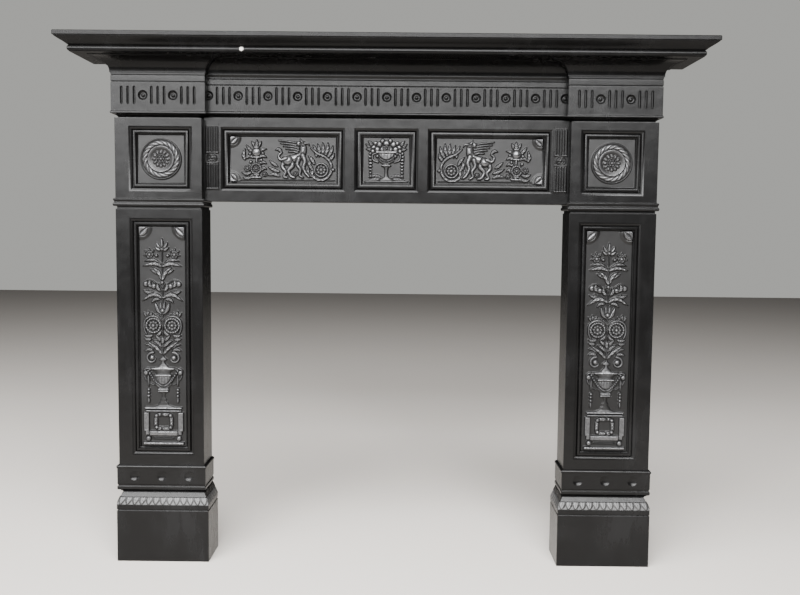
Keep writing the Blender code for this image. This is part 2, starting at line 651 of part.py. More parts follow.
def shelf():
    """The shelf casting: a plate with a moulded rim, and the bed moulding under the rim."""
    edge = [(0.98, 0.0), (1.0, 0.048), (0.95, 0.086), (0.87, 0.18), (0.87, 0.26), (0.94, 0.30),
            (0.86, 0.365), (0.65, 0.49), (0.365, 0.615), (0.14, 0.72), (0.095, 0.76),
            (0.0, 0.777), (0.0, 0.97), (0.05, 1.0)]
    board = loft("board", [board_ring(inset * SHELF_EDGE, SHELF_SOFFIT + rise * SHELF_THICKNESS)
                           for inset, rise in edge])
    cove = [(0.05 + 0.87 * (1.0 - cos(turn)), 0.09 + 0.75 * sin(turn))
            for turn in (radians(15 * i) for i in range(7))]
    bed = [(0.05, 0.0), (0.05, 0.075)] + cove + [(1.0, 0.86), (1.0, 1.03)]
    moulding = loft("bed", [bed_ring(offset * BED_SPREAD, FRIEZE_TOP + rise * BED_HEIGHT)
                            for offset, rise in bed])
    hollow = box("hollow", at(CASTING_WALL - FRIEZE_BLOCK.outer, -CUT_CLEAR, FRIEZE_TOP - CUT_CLEAR),
                 at(FRIEZE_BLOCK.outer - CASTING_WALL, HEADER_DEPTH - CASTING_WALL,
                    SHELF_TOP - SHELF_PLATE))
    whole = combine("shelf_whole", board, [], [moulding])
    return combine("shelf", whole, [hollow], [])


# Materials and assembly


def cast_iron():
    """Black-leaded cast iron."""
    material = bpy.data.materials.new("black_leaded_cast_iron")
    material.use_nodes = True
    shader = material.node_tree.nodes["Principled BSDF"]
    shader.inputs["Base Color"].default_value = (0.020, 0.019, 0.020, 1.0)
    shader.inputs["Roughness"].default_value = 0.38
    shader.inputs["Metallic"].default_value = 0.35
    return material


def main():
    """Clear the scene and build the four castings."""
    for obj in list(bpy.data.objects):
        bpy.data.objects.remove(obj)
    collection = bpy.data.collections.new("fireplace_surround")
    bpy.context.scene.collection.children.link(collection)
    right = jamb()
    castings = {"shelf": shelf(), "header": header(), "jamb_left": mirrored(right, "jamb_left"),
                "jamb_right": right}
    for name, mesh in castings.items():
        mesh.materials.clear()
        mesh.materials.append(cast_iron())
        link(name, mesh, collection)


main()
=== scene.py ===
"""Fireplace surround in black-leaded cast iron.

Each casting of the frame gets a fine casting of the same form: mouldings with eased arrises,
round-ended flutes, sunk roundels, and relief sheets carved point by point in the sunk panels.
"""

import json
import logging
from dataclasses import dataclass, field
from enum import Enum
from math import atan2, cos, pi, radians, sin
from typing import Iterable, Sequence

import bmesh
import bpy
import numpy as np
from mathutils import Matrix, Vector

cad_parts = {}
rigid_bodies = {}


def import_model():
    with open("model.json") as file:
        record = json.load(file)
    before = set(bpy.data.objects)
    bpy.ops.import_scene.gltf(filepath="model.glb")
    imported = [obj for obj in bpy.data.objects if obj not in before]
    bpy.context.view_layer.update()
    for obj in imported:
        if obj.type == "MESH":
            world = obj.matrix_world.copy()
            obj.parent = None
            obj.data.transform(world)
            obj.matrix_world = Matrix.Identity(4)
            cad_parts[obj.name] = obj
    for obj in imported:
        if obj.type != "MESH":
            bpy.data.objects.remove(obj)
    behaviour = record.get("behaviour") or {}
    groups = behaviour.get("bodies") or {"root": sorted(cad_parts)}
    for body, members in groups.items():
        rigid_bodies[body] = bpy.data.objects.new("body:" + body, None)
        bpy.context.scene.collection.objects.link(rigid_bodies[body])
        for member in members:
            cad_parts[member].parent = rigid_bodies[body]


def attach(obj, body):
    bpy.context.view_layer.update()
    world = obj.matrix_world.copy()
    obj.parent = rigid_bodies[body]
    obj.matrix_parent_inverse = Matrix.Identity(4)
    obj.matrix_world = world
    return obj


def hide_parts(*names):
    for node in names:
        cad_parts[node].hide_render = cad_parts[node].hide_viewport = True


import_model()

LOG = logging.getLogger("surround")
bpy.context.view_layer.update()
BODY = "root"

Point = tuple[float, float]
Place = tuple[float, float, float]
Colour = tuple[float, float, float, float]
Outline = list[Vector]
Window = tuple[slice, slice]
Form = bmesh.types.BMesh
Mesh = bpy.types.Mesh

OCTAVE_STRENGTH = 0.55
PER_METRE = 1000.0


class Side(Enum):
    """Which jamb, by the sign of its x."""

    LEFT = -1
    RIGHT = 1


# Shader values


class Wire:
    """One shader value, so that shader maths reads as a Python expression."""

    def __init__(self, sheet: "NodeSheet", socket: bpy.types.NodeSocket) -> None:
        """Wrap an output socket of a node sheet."""
        self.sheet = sheet
        self.socket = socket

    def _math(self, operation: str, *operands: "Wire | float") -> "Wire":
        """Add a Math node with its inputs, wires or numbers."""
        inputs = dict(enumerate(operands))
        return self.sheet.node("ShaderNodeMath", {"operation": operation}, inputs)

    def __add__(self, other: "Wire | float") -> "Wire":
        """Sum."""
        return self._math("ADD", self, other)

    __radd__ = __add__

    def __mul__(self, other: "Wire | float") -> "Wire":
        """Product."""
        return self._math("MULTIPLY", self, other)

    __rmul__ = __mul__

    def __sub__(self, other: "Wire | float") -> "Wire":
        """Difference."""
        return self._math("SUBTRACT", self, other)

    def __rsub__(self, other: "Wire | float") -> "Wire":
        """Reflected difference."""
        return self._math("SUBTRACT", other, self)

    def span(self, low: float, high: float) -> "Wire":
        """Stretch the range from low to high to 0 to 1, and clamp it."""
        return self.sheet.node("ShaderNodeMapRange", {"clamp": True, "interpolation_type": "SMOOTHSTEP"},
                               {"Value": self, "From Min": low, "From Max": high})


class NodeSheet:
    """A material's nodes, added one call at a time."""

    def __init__(self, name: str) -> None:
        """Start a material.

        Args:
            name: The material's name.
        """
        self.material = bpy.data.materials.new(name)
        self.material.use_nodes = True
        self.tree = self.material.node_tree
        self.shader = self.tree.nodes["Principled BSDF"]

    def node(self, kind: str, settings: dict[str, object], inputs: dict[str | int, object],
             output: str | int = 0) -> Wire:
        """Add a node.

        Args:
            kind: The node's type.
            settings: Its own settings, set first.
            inputs: The values or wires of its sockets.
            output: The output to return.

        Returns:
            The chosen output.
        """
        made = self.tree.nodes.new(kind)
        for key, value in settings.items():
            setattr(made, key, value)
        for key, value in inputs.items():
            self.feed(made.inputs[key], value)
        return Wire(self, made.outputs[output])

    def feed(self, socket: bpy.types.NodeSocket, value: object) -> None:
        """Link a wire to a socket, or set its value.

        Args:
            socket: The input socket.
            value: A wire, a number or a colour.
        """
        if isinstance(value, Wire):
            self.tree.links.new(value.socket, socket)
        else:
            socket.default_value = value

    def finish(self, inputs: dict[str, object]) -> None:
        """Feed the surface shader.

        Args:
            inputs: The values or wires of its sockets.
        """
        for key, value in inputs.items():
            self.feed(self.shader.inputs[key], value)

    def mix(self, share: Wire | float, low: object, high: object) -> Wire:
        """Mix two colours.

        Args:
            share: How much of the second colour shows.
            low: The first colour, a wire or four numbers.
            high: The second colour.

        Returns:
            The mixed colour.
        """
        made = self.tree.nodes.new("ShaderNodeMix")
        made.data_type = "RGBA"
        for key, value in (("Factor_Float", share), ("A_Color", low), ("B_Color", high)):
            self.feed(next(s for s in made.inputs if s.identifier == key), value)
        return Wire(self, next(s for s in made.outputs if s.identifier == "Result_Color"))

    def noise(self, scale: float, detail: float, upright: float = 1.0) -> Wire:
        """A noise pattern on the piece's own coordinates.

        Args:
            scale: Cells in a metre.
            detail: Octaves.
            upright: The share of the scale that is kept going up, which draws the cells out.

        Returns:
            The noise, around 0.5.
        """
        place = self.node("ShaderNodeTexCoord", {}, {}, "Object")
        if upright != 1.0:
            place = self.node("ShaderNodeMapping", {}, {"Vector": place, "Scale": (1.0, 1.0, upright)})
        return self.node("ShaderNodeTexNoise", {}, {"Vector": place, "Scale": scale, "Detail": detail,
                                                    "Roughness": OCTAVE_STRENGTH})


@dataclass(frozen=True)
class BlackLead:
    """Black-leaded cast iron: near black, satin, with a fine cast grain and rubbed high spots; on the
    raised relief the lighter burnished colour is partly real wear and partly a painted highlight.
    """

    name: str = "black_leaded_iron"
    dark: Colour = (0.0026, 0.0025, 0.0025, 1.0)
    # Rubbed and burnished colours: partly real wear, partly a painted highlight where the relief stands
    # high.
    rubbed_and_highlit: Colour = (0.012, 0.012, 0.0125, 1.0)
    burnished_highlight: Colour = (0.13, 0.13, 0.134, 1.0)
    highlight_heights: Point = (0.42, 1.0)
    roughness: float = 0.26
    cloud_swing: float = 0.10
    smear_swing: float = 0.08
    polish: float = 0.12
    grain_height: float = 0.00010
    ripple_height: float = 0.0006
    ior: float = 1.45
    specular: float = 0.18
    chip: Place | None = None
    chip_colour: Colour = (0.62, 0.60, 0.56, 1.0)
    chip_edge: Point = (0.0042, 0.0056)
    chip_raggedness: float = 0.006

    def material(self) -> bpy.types.Material:
        """Build the material.

        Returns:
            The finished material.
        """
        sheet = NodeSheet(self.name)
        cloud = sheet.noise(5.0, 4.0)
        smear = sheet.noise(46.0, 3.0, upright=0.22)
        scratches = sheet.noise(150.0, 2.0)
        grain = sheet.noise(420.0, 2.0)
        ripple = sheet.noise(26.0, 1.0)
        relief = sheet.node("ShaderNodeAttribute", {"attribute_name": "relief"}, {}, "Fac")
        # Painted highlight: the higher the relief stands, the lighter and more metallic it is painted; this
        # is partly real burnishing of high spots.
        high = relief.span(*self.highlight_heights)
        wear_and_highlight = (high * 0.6 + cloud.span(0.45, 0.75) * 0.4) * smear.span(0.2, 0.6)
        burnish_highlight = high * (0.45 + 0.55 * scratches.span(0.35, 0.6))
        colour = sheet.mix(burnish_highlight, sheet.mix(wear_and_highlight, self.dark, self.rubbed_and_highlit), self.burnished_highlight)
        if self.chip:
            place = sheet.node("ShaderNodeTexCoord", {}, {}, "Object")
            away = sheet.node("ShaderNodeVectorMath", {"operation": "DISTANCE"},
                              {0: place, 1: self.chip}, "Value")
            bare = 1.0 - (away + (grain - 0.5) * self.chip_raggedness).span(*self.chip_edge)
            colour = sheet.mix(bare, colour, self.chip_colour)
        height = grain * self.grain_height + ripple * self.ripple_height
        sheet.finish({
            "Base Color": colour,
            "Roughness": self.roughness + (cloud - 0.5) * self.cloud_swing
            + (smear - 0.5) * self.smear_swing - high * self.polish,
            "Metallic": burnish_highlight,
            "Normal": sheet.node("ShaderNodeBump", {},
                                 {"Height": height, "Distance": 1.0, "Strength": 1.0}),
            "IOR": self.ior,
            "Specular IOR Level": self.specular})
        return sheet.material


# The relief finish: a rougher and lighter copy of the iron; its lighter colour is partly painted light,
# standing in for the light that the rough cast ground scatters.
PANEL = BlackLead(name="black_leaded_iron_relief", dark=(0.004, 0.0039, 0.0039, 1.0),
                  rubbed_and_highlit=(0.014, 0.014, 0.0145, 1.0), burnished_highlight=(0.112, 0.112, 0.115, 1.0),
                  roughness=0.40, specular=0.29)
# The plinth cap's leaves: a much lighter copy of the iron, partly scoured bright metal and partly a painted
# highlight for the light that they catch.
SCOURED_HIGHLIT = BlackLead(name="black_leaded_iron_scoured_highlit", dark=(0.02, 0.02, 0.02, 1.0),
                    rubbed_and_highlit=(0.10, 0.10, 0.101, 1.0), burnished_highlight=(0.80, 0.80, 0.805, 1.0),
                    roughness=0.36, specular=0.5)
SOOTY = BlackLead(name="black_leaded_iron_sooty", specular=0.115, ripple_height=0.0003,
                  chip=(-0.3620, -0.0810, 1.3425))


# Lines and lofted forms


def ease(points: Iterable[Sequence[float]], radius: float, steps: int = 3) -> list[np.ndarray]:
    """Round the inner corners of a line.

    Args:
        points: The line's points, of any dimension.
        radius: How far from a corner its curve starts.
        steps: Segments of each curve.

    Returns:
        The rounded line.
    """
    nearly_straight, longest_share = 0.35, 0.45
    line = [np.asarray(point, dtype=float) for point in points]
    eased = [line[0]]
    for before, corner, after in zip(line, line[1:], line[2:]):
        back, on = before - corner, after - corner
        back_length, on_length = np.linalg.norm(back), np.linalg.norm(on)
        if np.linalg.norm(back / back_length + on / on_length) < nearly_straight:
            eased.append(corner)
            continue
        cut = min(radius, longest_share * back_length, longest_share * on_length)
        start, end = corner + back / back_length * cut, corner + on / on_length * cut
        for t in np.linspace(0.0, 1.0, steps + 1):
            eased.append((1 - t) ** 2 * start + 2 * t * (1 - t) * corner + t * t * end)
    return eased + [line[-1]]


def flow(points: Iterable[Sequence[float]], steps: int = 6) -> np.ndarray:
    """A smooth line through points.

    Args:
        points: The points, of any dimension.
        steps: Segments between two points.

    Returns:
        The line, one point a row.
    """
    line = np.array([tuple(point) for point in points], dtype=float)
    padded = np.vstack([2 * line[0] - line[1], line, 2 * line[-1] - line[-2]])
    t = np.linspace(0.0, 1.0, steps, endpoint=False)[:, None]
    spans = []
    for a, b, c, d in zip(padded, padded[1:], padded[2:], padded[3:]):
        spans.append(0.5 * (2 * b + (c - a) * t + (2 * a - 5 * b + 4 * c - d) * t ** 2
                            + (3 * b - a - 3 * c + d) * t ** 3))
    return np.vstack(spans + [line[-1:]])


def pull(bm: Form, rim: Sequence[bmesh.types.BMEdge]
         ) -> tuple[list[bmesh.types.BMVert], list[bmesh.types.BMEdge]]:
    """Extrude a rim of edges.

    Args:
        bm: The form that they belong to.
        rim: The edges.

    Returns:
        The new corners and the new rim.
    """
    made = bmesh.ops.extrude_edge_only(bm, edges=rim)["geom"]
    corners = [item for item in made if isinstance(item, bmesh.types.BMVert)]
    fresh = set(corners)
    return corners, [item for item in made if isinstance(item, bmesh.types.BMEdge)
                     and all(vert in fresh for vert in item.verts)]


def loft(rings: Sequence[Outline]) -> Form:
    """Draw a ring of corners through other rings, and close both ends.

    Args:
        rings: Rings of the same number of corners.

    Returns:
        A closed solid.
    """
    bm = bmesh.new()
    mark = bm.verts.layers.int.new("corner")
    corners = [bm.verts.new(point) for point in rings[0]]
    for i, corner in enumerate(corners):
        corner[mark] = i
    bm.faces.new(corners)
    rim = list(bm.edges)
    for ring in rings[1:]:
        corners, rim = pull(bm, rim)
        for vert in corners:
            vert.co = ring[vert[mark]]
    bmesh.ops.edgeloop_fill(bm, edges=rim)
    bmesh.ops.recalc_face_normals(bm, faces=bm.faces)
    return bm


def turned(profile: Sequence[Point], centre: Vector, steps: int) -> Form:
    """Turn a profile about an axis that points out of the wall.

    Args:
        profile: Radius and distance out, from the axis round to the axis.
        centre: Where the axis starts.
        steps: Segments of the turn.

    Returns:
        A closed round form.
    """
    bm = bmesh.new()
    verts = [bm.verts.new((radius, -out, 0.0)) for radius, out in profile]
    edges = [bm.edges.new(pair) for pair in zip(verts, verts[1:])]
    bmesh.ops.spin(bm, geom=verts + edges, axis=(0.0, 1.0, 0.0), cent=(0.0, 0.0, 0.0),
                   angle=2.0 * pi, steps=steps, use_merge=True)
    bmesh.ops.remove_doubles(bm, verts=bm.verts, dist=0.00002)
    bmesh.ops.translate(bm, verts=bm.verts, vec=centre)
    bmesh.ops.recalc_face_normals(bm, faces=bm.faces)
    return bm


def box(low: Vector, high: Vector) -> Form:
    """A box between two opposite corners.

    Args:
        low: One corner.
        high: The opposite corner.

    Returns:
        The box.
    """
    bm = bmesh.new()
    size = [abs(b - a) for a, b in zip(low, high)]
    place = Matrix.Translation((low + high) / 2.0) @ Matrix.Diagonal((*size, 1.0))
    bmesh.ops.create_cube(bm, size=1.0, matrix=place)
    return bm


def to_mesh(bm: Form, name: str) -> Mesh:
    """Close off a bmesh as a mesh.

    Args:
        bm: The bmesh, which is freed.
        name: The mesh's name.

    Returns:
        The mesh.
    """
    mesh = bpy.data.meshes.new(name)
    bm.to_mesh(mesh)
    bm.free()
    return mesh


def carve_out(name: str, body: Form, cuts: Sequence[Form]) -> Mesh:
    """Cut forms out of a body.

    Args:
        name: The result's name.
        body: The closed body.
        cuts: The closed forms to cut away.

    Returns:
        What is left.
    """
    base = bpy.data.objects.new(name, to_mesh(body, name))
    bpy.context.scene.collection.objects.link(base)
    knives = bpy.data.collections.new(name + "_knives")
    bpy.context.scene.collection.children.link(knives)
    for i, cut in enumerate(cuts):
        blade = f"{name}_knife_{i}"
        knives.objects.link(bpy.data.objects.new(blade, to_mesh(cut, blade)))
    modifier = base.modifiers.new("Cut", "BOOLEAN")
    modifier.operation = "DIFFERENCE"
    modifier.operand_type = "COLLECTION"
    modifier.collection = knives
    modifier.solver = "EXACT"
    evaluated = base.evaluated_get(bpy.context.evaluated_depsgraph_get())
    result = bpy.data.meshes.new_from_object(evaluated)
    for obj in list(knives.objects) + [base]:
        bpy.data.objects.remove(obj)
    bpy.data.collections.remove(knives)
    result.name = name
    return result


# Shared places


@dataclass(frozen=True)
class Levels:
    """Heights and depths that the castings share, in metres."""

    wall: float = 0.1080
    opening_half: float = 0.4825
    opening_height: float = 0.9665
    plinth_top: float = 0.1385
    band_bottom: float = 0.1895
    band_top: float = 0.2565
    neck_bottom: float = 0.9500
    neck_height: float = 0.0220
    block_top: float = 1.1810
    necking: float = 0.0105
    frieze_bottom: float = 1.1915
    frieze_height: float = 0.1045
    frieze_top: float = 1.2960
    soffit: float = 1.3285
    shelf_top: float = 1.3806
    panel_bottom: float = 0.9945
    panel_top: float = 1.1600
    leg_panel_bottom: float = 0.2850
    recess: float = 0.0100
    sheet_bed: float = 0.0012
    fillet: float = 0.0020
    seat_gap: float = 0.0003
    pitch: float = 0.0782
    frieze_depth: float = 0.0763
    channel_wall: float = 0.0100
    behind: float = -0.0200

    def at(self, x: float, depth: float, z: float) -> Vector:
        """A place on the surround, its depth measured out from the wall."""
        return Vector((x, self.wall - depth, z))

    def frieze_lines(self) -> list[Point]:
        """The eased offsets and heights of the two fine grooves over the flutes.

        Returns:
            Offset and height, going up.
        """
        shares = [(0.0, 0.062), (0.0, 0.761), (-0.0022, 0.767), (-0.0022, 0.784), (0.0, 0.790),
                  (0.0, 0.928), (-0.0015, 0.933), (-0.0015, 0.943), (0.0, 0.948)]
        line = [(offset, self.frieze_bottom + share * self.frieze_height) for offset, share in shares]
        return line + [(0.0, self.frieze_top - self.seat_gap)]


LEVELS = Levels()


@dataclass(frozen=True)
class Plan:
    """Plan of a jamb block: its inner and outer side, and how far it stands out, in metres."""

    inner: float
    outer: float
    depth: float

    def step(self, offset: float, z: float) -> tuple[float, float, float, float]:
        """The plan grown by an offset, with its height."""
        return (self.inner - offset, self.outer + offset, self.depth + offset, z)

    def mould(self, section: Sequence[Point], proud: float, low: float, height: float
              ) -> list[tuple[float, float, float, float]]:
        """A moulding round the plan: the plans that shares of its reach and height give."""
        return [self.step(share * proud, low + rise * height) for share, rise in section]


BLOCK = Plan(0.4717750, 0.7175, 0.1068)


@dataclass(frozen=True)
class Field:
    """The sunk ground of a panel, in metres: its sides, its heights and its depth."""

    left: float
    right: float
    low: float
    high: float
    depth: float


PANEL_SECTION = (
    (-0.02, -0.60), (-0.02, -0.02), (0.0, 0.0), (0.02, 0.03), (0.08, 0.115), (0.15, 0.22),
    (0.205, 0.32), (0.245, 0.44), (0.27, 0.60), (0.285, 0.75), (0.30, 0.77), (0.315, 0.70),
    (0.33, 0.54), (0.345, 0.36), (0.37, 0.24), (0.42, 0.18), (0.50, 0.16), (0.59, 0.17),
    (0.66, 0.21), (0.70, 0.30), (0.725, 0.44), (0.745, 0.62), (0.78, 0.68), (0.815, 0.72),
    (0.84, 0.80), (0.86, 0.92), (0.885, 0.98), (0.93, 1.0), (1.0, 1.0 + LEVELS.sheet_bed / LEVELS.recess))
BEVEL_END = 0.30
GROUND_START = 0.93


@dataclass(frozen=True)
class PanelRecess:
    """A sunk panel with a moulded frame: a round bevel, a quirk, a flat bead and a fall to the ground."""

    left: float
    right: float
    low: float
    high: float
    face: float
    moulding: float
    bevel_share: float = 0.42

    def cut(self) -> Form:
        """The form that is cut away from the face.

        Returns:
            The closed cut.
        """
        rings = []
        for share, drop in PANEL_SECTION:
            if share > 0.0:
                share = float(np.interp(share, (0.0, BEVEL_END, GROUND_START, 1.0),
                                        (0.0, self.bevel_share, GROUND_START, 1.0)))
            inset, level = share * self.moulding, self.face - drop * LEVELS.recess
            x0, x1, z0, z1 = self.left + inset, self.right - inset, self.low + inset, self.high - inset
            rings.append([LEVELS.at(x, level, z) for x, z in ((x0, z0), (x1, z0), (x1, z1), (x0, z1))])
        return loft(rings)

    def field(self) -> Field:
        """The ground inside the moulding."""
        inset = GROUND_START * self.moulding
        return Field(self.left + inset, self.right - inset, self.low + inset, self.high - inset,
                     self.face - LEVELS.recess)


DISH_SECTION = (
    (0.0, 1.2), (1.06, 1.2), (1.04, 0.04), (0.98, -0.02), (0.90, -0.12), (0.80, -0.24),
    (0.66, -0.38), (0.50, -0.50), (0.34, -0.58), (0.17, -0.62), (0.0, -0.63))
ROUNDEL_SECTION = (
    (0.0, 1.2), (1.12, 1.2), (1.10, 0.08), (1.04, -0.02), (0.985, -0.20), (0.91, -0.48),
    (0.80, -0.76), (0.66, -0.96), (0.52, -1.0), (0.42, -0.92), (0.36, -0.74), (0.31, -0.55),
    (0.22, -0.43), (0.11, -0.38), (0.0, -0.36))


@dataclass(frozen=True)
class FriezeOrnament:
    """Flutes in threes between sunk roundels, in metres."""

    flute_pitch: float = 0.0165
    flute_width: float = 0.0072
    flute_depth: float = 0.0052
    flute_low: float = 0.0240
    flute_height: float = 0.0455
    flute_end: Point = (1.03, 1.2)
    proud: float = 0.0003
    radius: float = 0.0122
    drop: float = 0.0056
    dish_size: Point = (1.12, 1.15)

    def flute(self, x: float, face: float, lift: float = 0.0) -> Form:
        """One round-ended flute.

        Args:
            x: Its middle.
            face: The depth of the face that it is cut in.
            lift: How much higher it stands than the jambs' own.

        Returns:
            The closed cut.
        """
        bm = bmesh.new()
        radius, hair = self.flute_width / 2.0, 1e-6
        size = (radius * self.flute_end[0], self.flute_depth + self.proud, radius * self.flute_end[1], 1.0)
        bmesh.ops.create_uvsphere(bm, u_segments=16, v_segments=10, radius=1.0,
                                  matrix=Matrix.Diagonal(size))
        bmesh.ops.bisect_plane(bm, geom=bm.verts[:] + bm.edges[:] + bm.faces[:], dist=hair,
                               plane_co=(0.0, 0.0, 0.0), plane_no=(0.0, 0.0, 1.0))
        for vert in bm.verts:
            if vert.co.z > hair:
                vert.co.z += self.flute_height - self.flute_width
        foot = LEVELS.at(x, face + self.proud, LEVELS.frieze_bottom + self.flute_low + lift + radius)
        bmesh.ops.translate(bm, verts=bm.verts, vec=foot)
        return bm

    def sunk_round(self, section: Sequence[Point], size: Point, x: float, face: float, z: float) -> Form:
        """One sunk round: a plain dish, or a roundel with a domed button left standing in it."""
        profile = [(size[0] * radius * self.radius, size[1] * out * self.drop) for radius, out in section]
        return turned(profile, LEVELS.at(x, face, z), 32)

    def run(self, roundels: Iterable[float], groups: Iterable[float], face: float, lift: float = 0.0
            ) -> list[Form]:
        """A run of frieze.

        Args:
            roundels: The middles of the roundels.
            groups: The middles of the groups of flutes.
            face: The depth of the face.
            lift: How much higher it stands than the jambs' own.

        Returns:
            All its cuts.
        """
        height = LEVELS.frieze_bottom + self.flute_low + lift + self.flute_height / 2.0
        cuts = [self.sunk_round(ROUNDEL_SECTION, (1.0, 1.0), x, face, height) for x in roundels]
        return cuts + [self.flute(x + i * self.flute_pitch, face, lift) for x in groups for i in (-1, 0, 1)]


FRIEZE = FriezeOrnament()


# Relief


SCALLOP = 0.22
VEIN = 0.16
GROOVE_HALF = 0.8
# Relief height in millimetres that gets the full painted highlight.
BRIGHT_HEIGHT = 8.0
SHEET_CLEARANCE = 0.0001
BACK_CLEARANCE = 0.05


@dataclass(frozen=True)
class Cut:
    """How one swept form is carved, in millimetres and shares of its length."""

    half: float
    rise: float
    start: float = 1.0
    end: float = 0.3
    belly: float = 0.0
    lobes: int = 0
    veins: int = 0
    groove: float = 0.0
    crown: float = 0.6
    lift: float = 0.0

    def width(self, share: np.ndarray) -> np.ndarray:
        """Half the form's width along it.

        Args:
            share: How far along, from 0 to 1.

        Returns:
            The half width in millimetres.
        """
        straight = self.start + (self.end - self.start) * share
        leaf = np.sin(pi * np.clip(share, 0.0, 1.0) ** 0.8) ** 0.85
        scallop = 1.0 - SCALLOP * np.abs(np.sin(pi * self.lobes * share)) if self.lobes else 1.0
        return self.half * ((1.0 - self.belly) * straight + self.belly * leaf) * scallop + 0.02

    def surface(self, share: np.ndarray, off: np.ndarray, across: np.ndarray) -> np.ndarray:
        """The form's height.

        Args:
            share: How far along.
            off: How far from its middle line, in millimetres.
            across: The same as a share of the half width.

        Returns:
            The height in millimetres.
        """
        height = self.rise * np.clip(1.0 - across ** 2, 0.0, 1.0) ** self.crown
        height = height * (1.0 + self.lift * (share - 0.5))
        if self.veins:
            height = height * (1.0 - VEIN + VEIN * np.cos(2.0 * pi * (self.veins * share - across)))
        if self.groove:
            height = height - self.groove * np.exp(-(off / GROOVE_HALF) ** 2) * (across < 1.0)
        return height


TENDRIL = Cut(half=1.8, rise=4.8, end=0.6)
LEAF = Cut(half=5.2, rise=7.2, belly=1.0, veins=5, groove=1.3)
SLIM_LEAF = Cut(half=3.8, rise=6.6, belly=1.0, groove=1.0)
BOUGH = Cut(half=7.0, rise=8.6, belly=0.8, start=0.6, lobes=5, veins=5, groove=1.6)
FROND = Cut(half=5.2, rise=7.6, belly=1.0, veins=4, groove=1.3)
PETAL = Cut(half=4.4, rise=7.2, belly=0.9, start=0.5, groove=0.9)


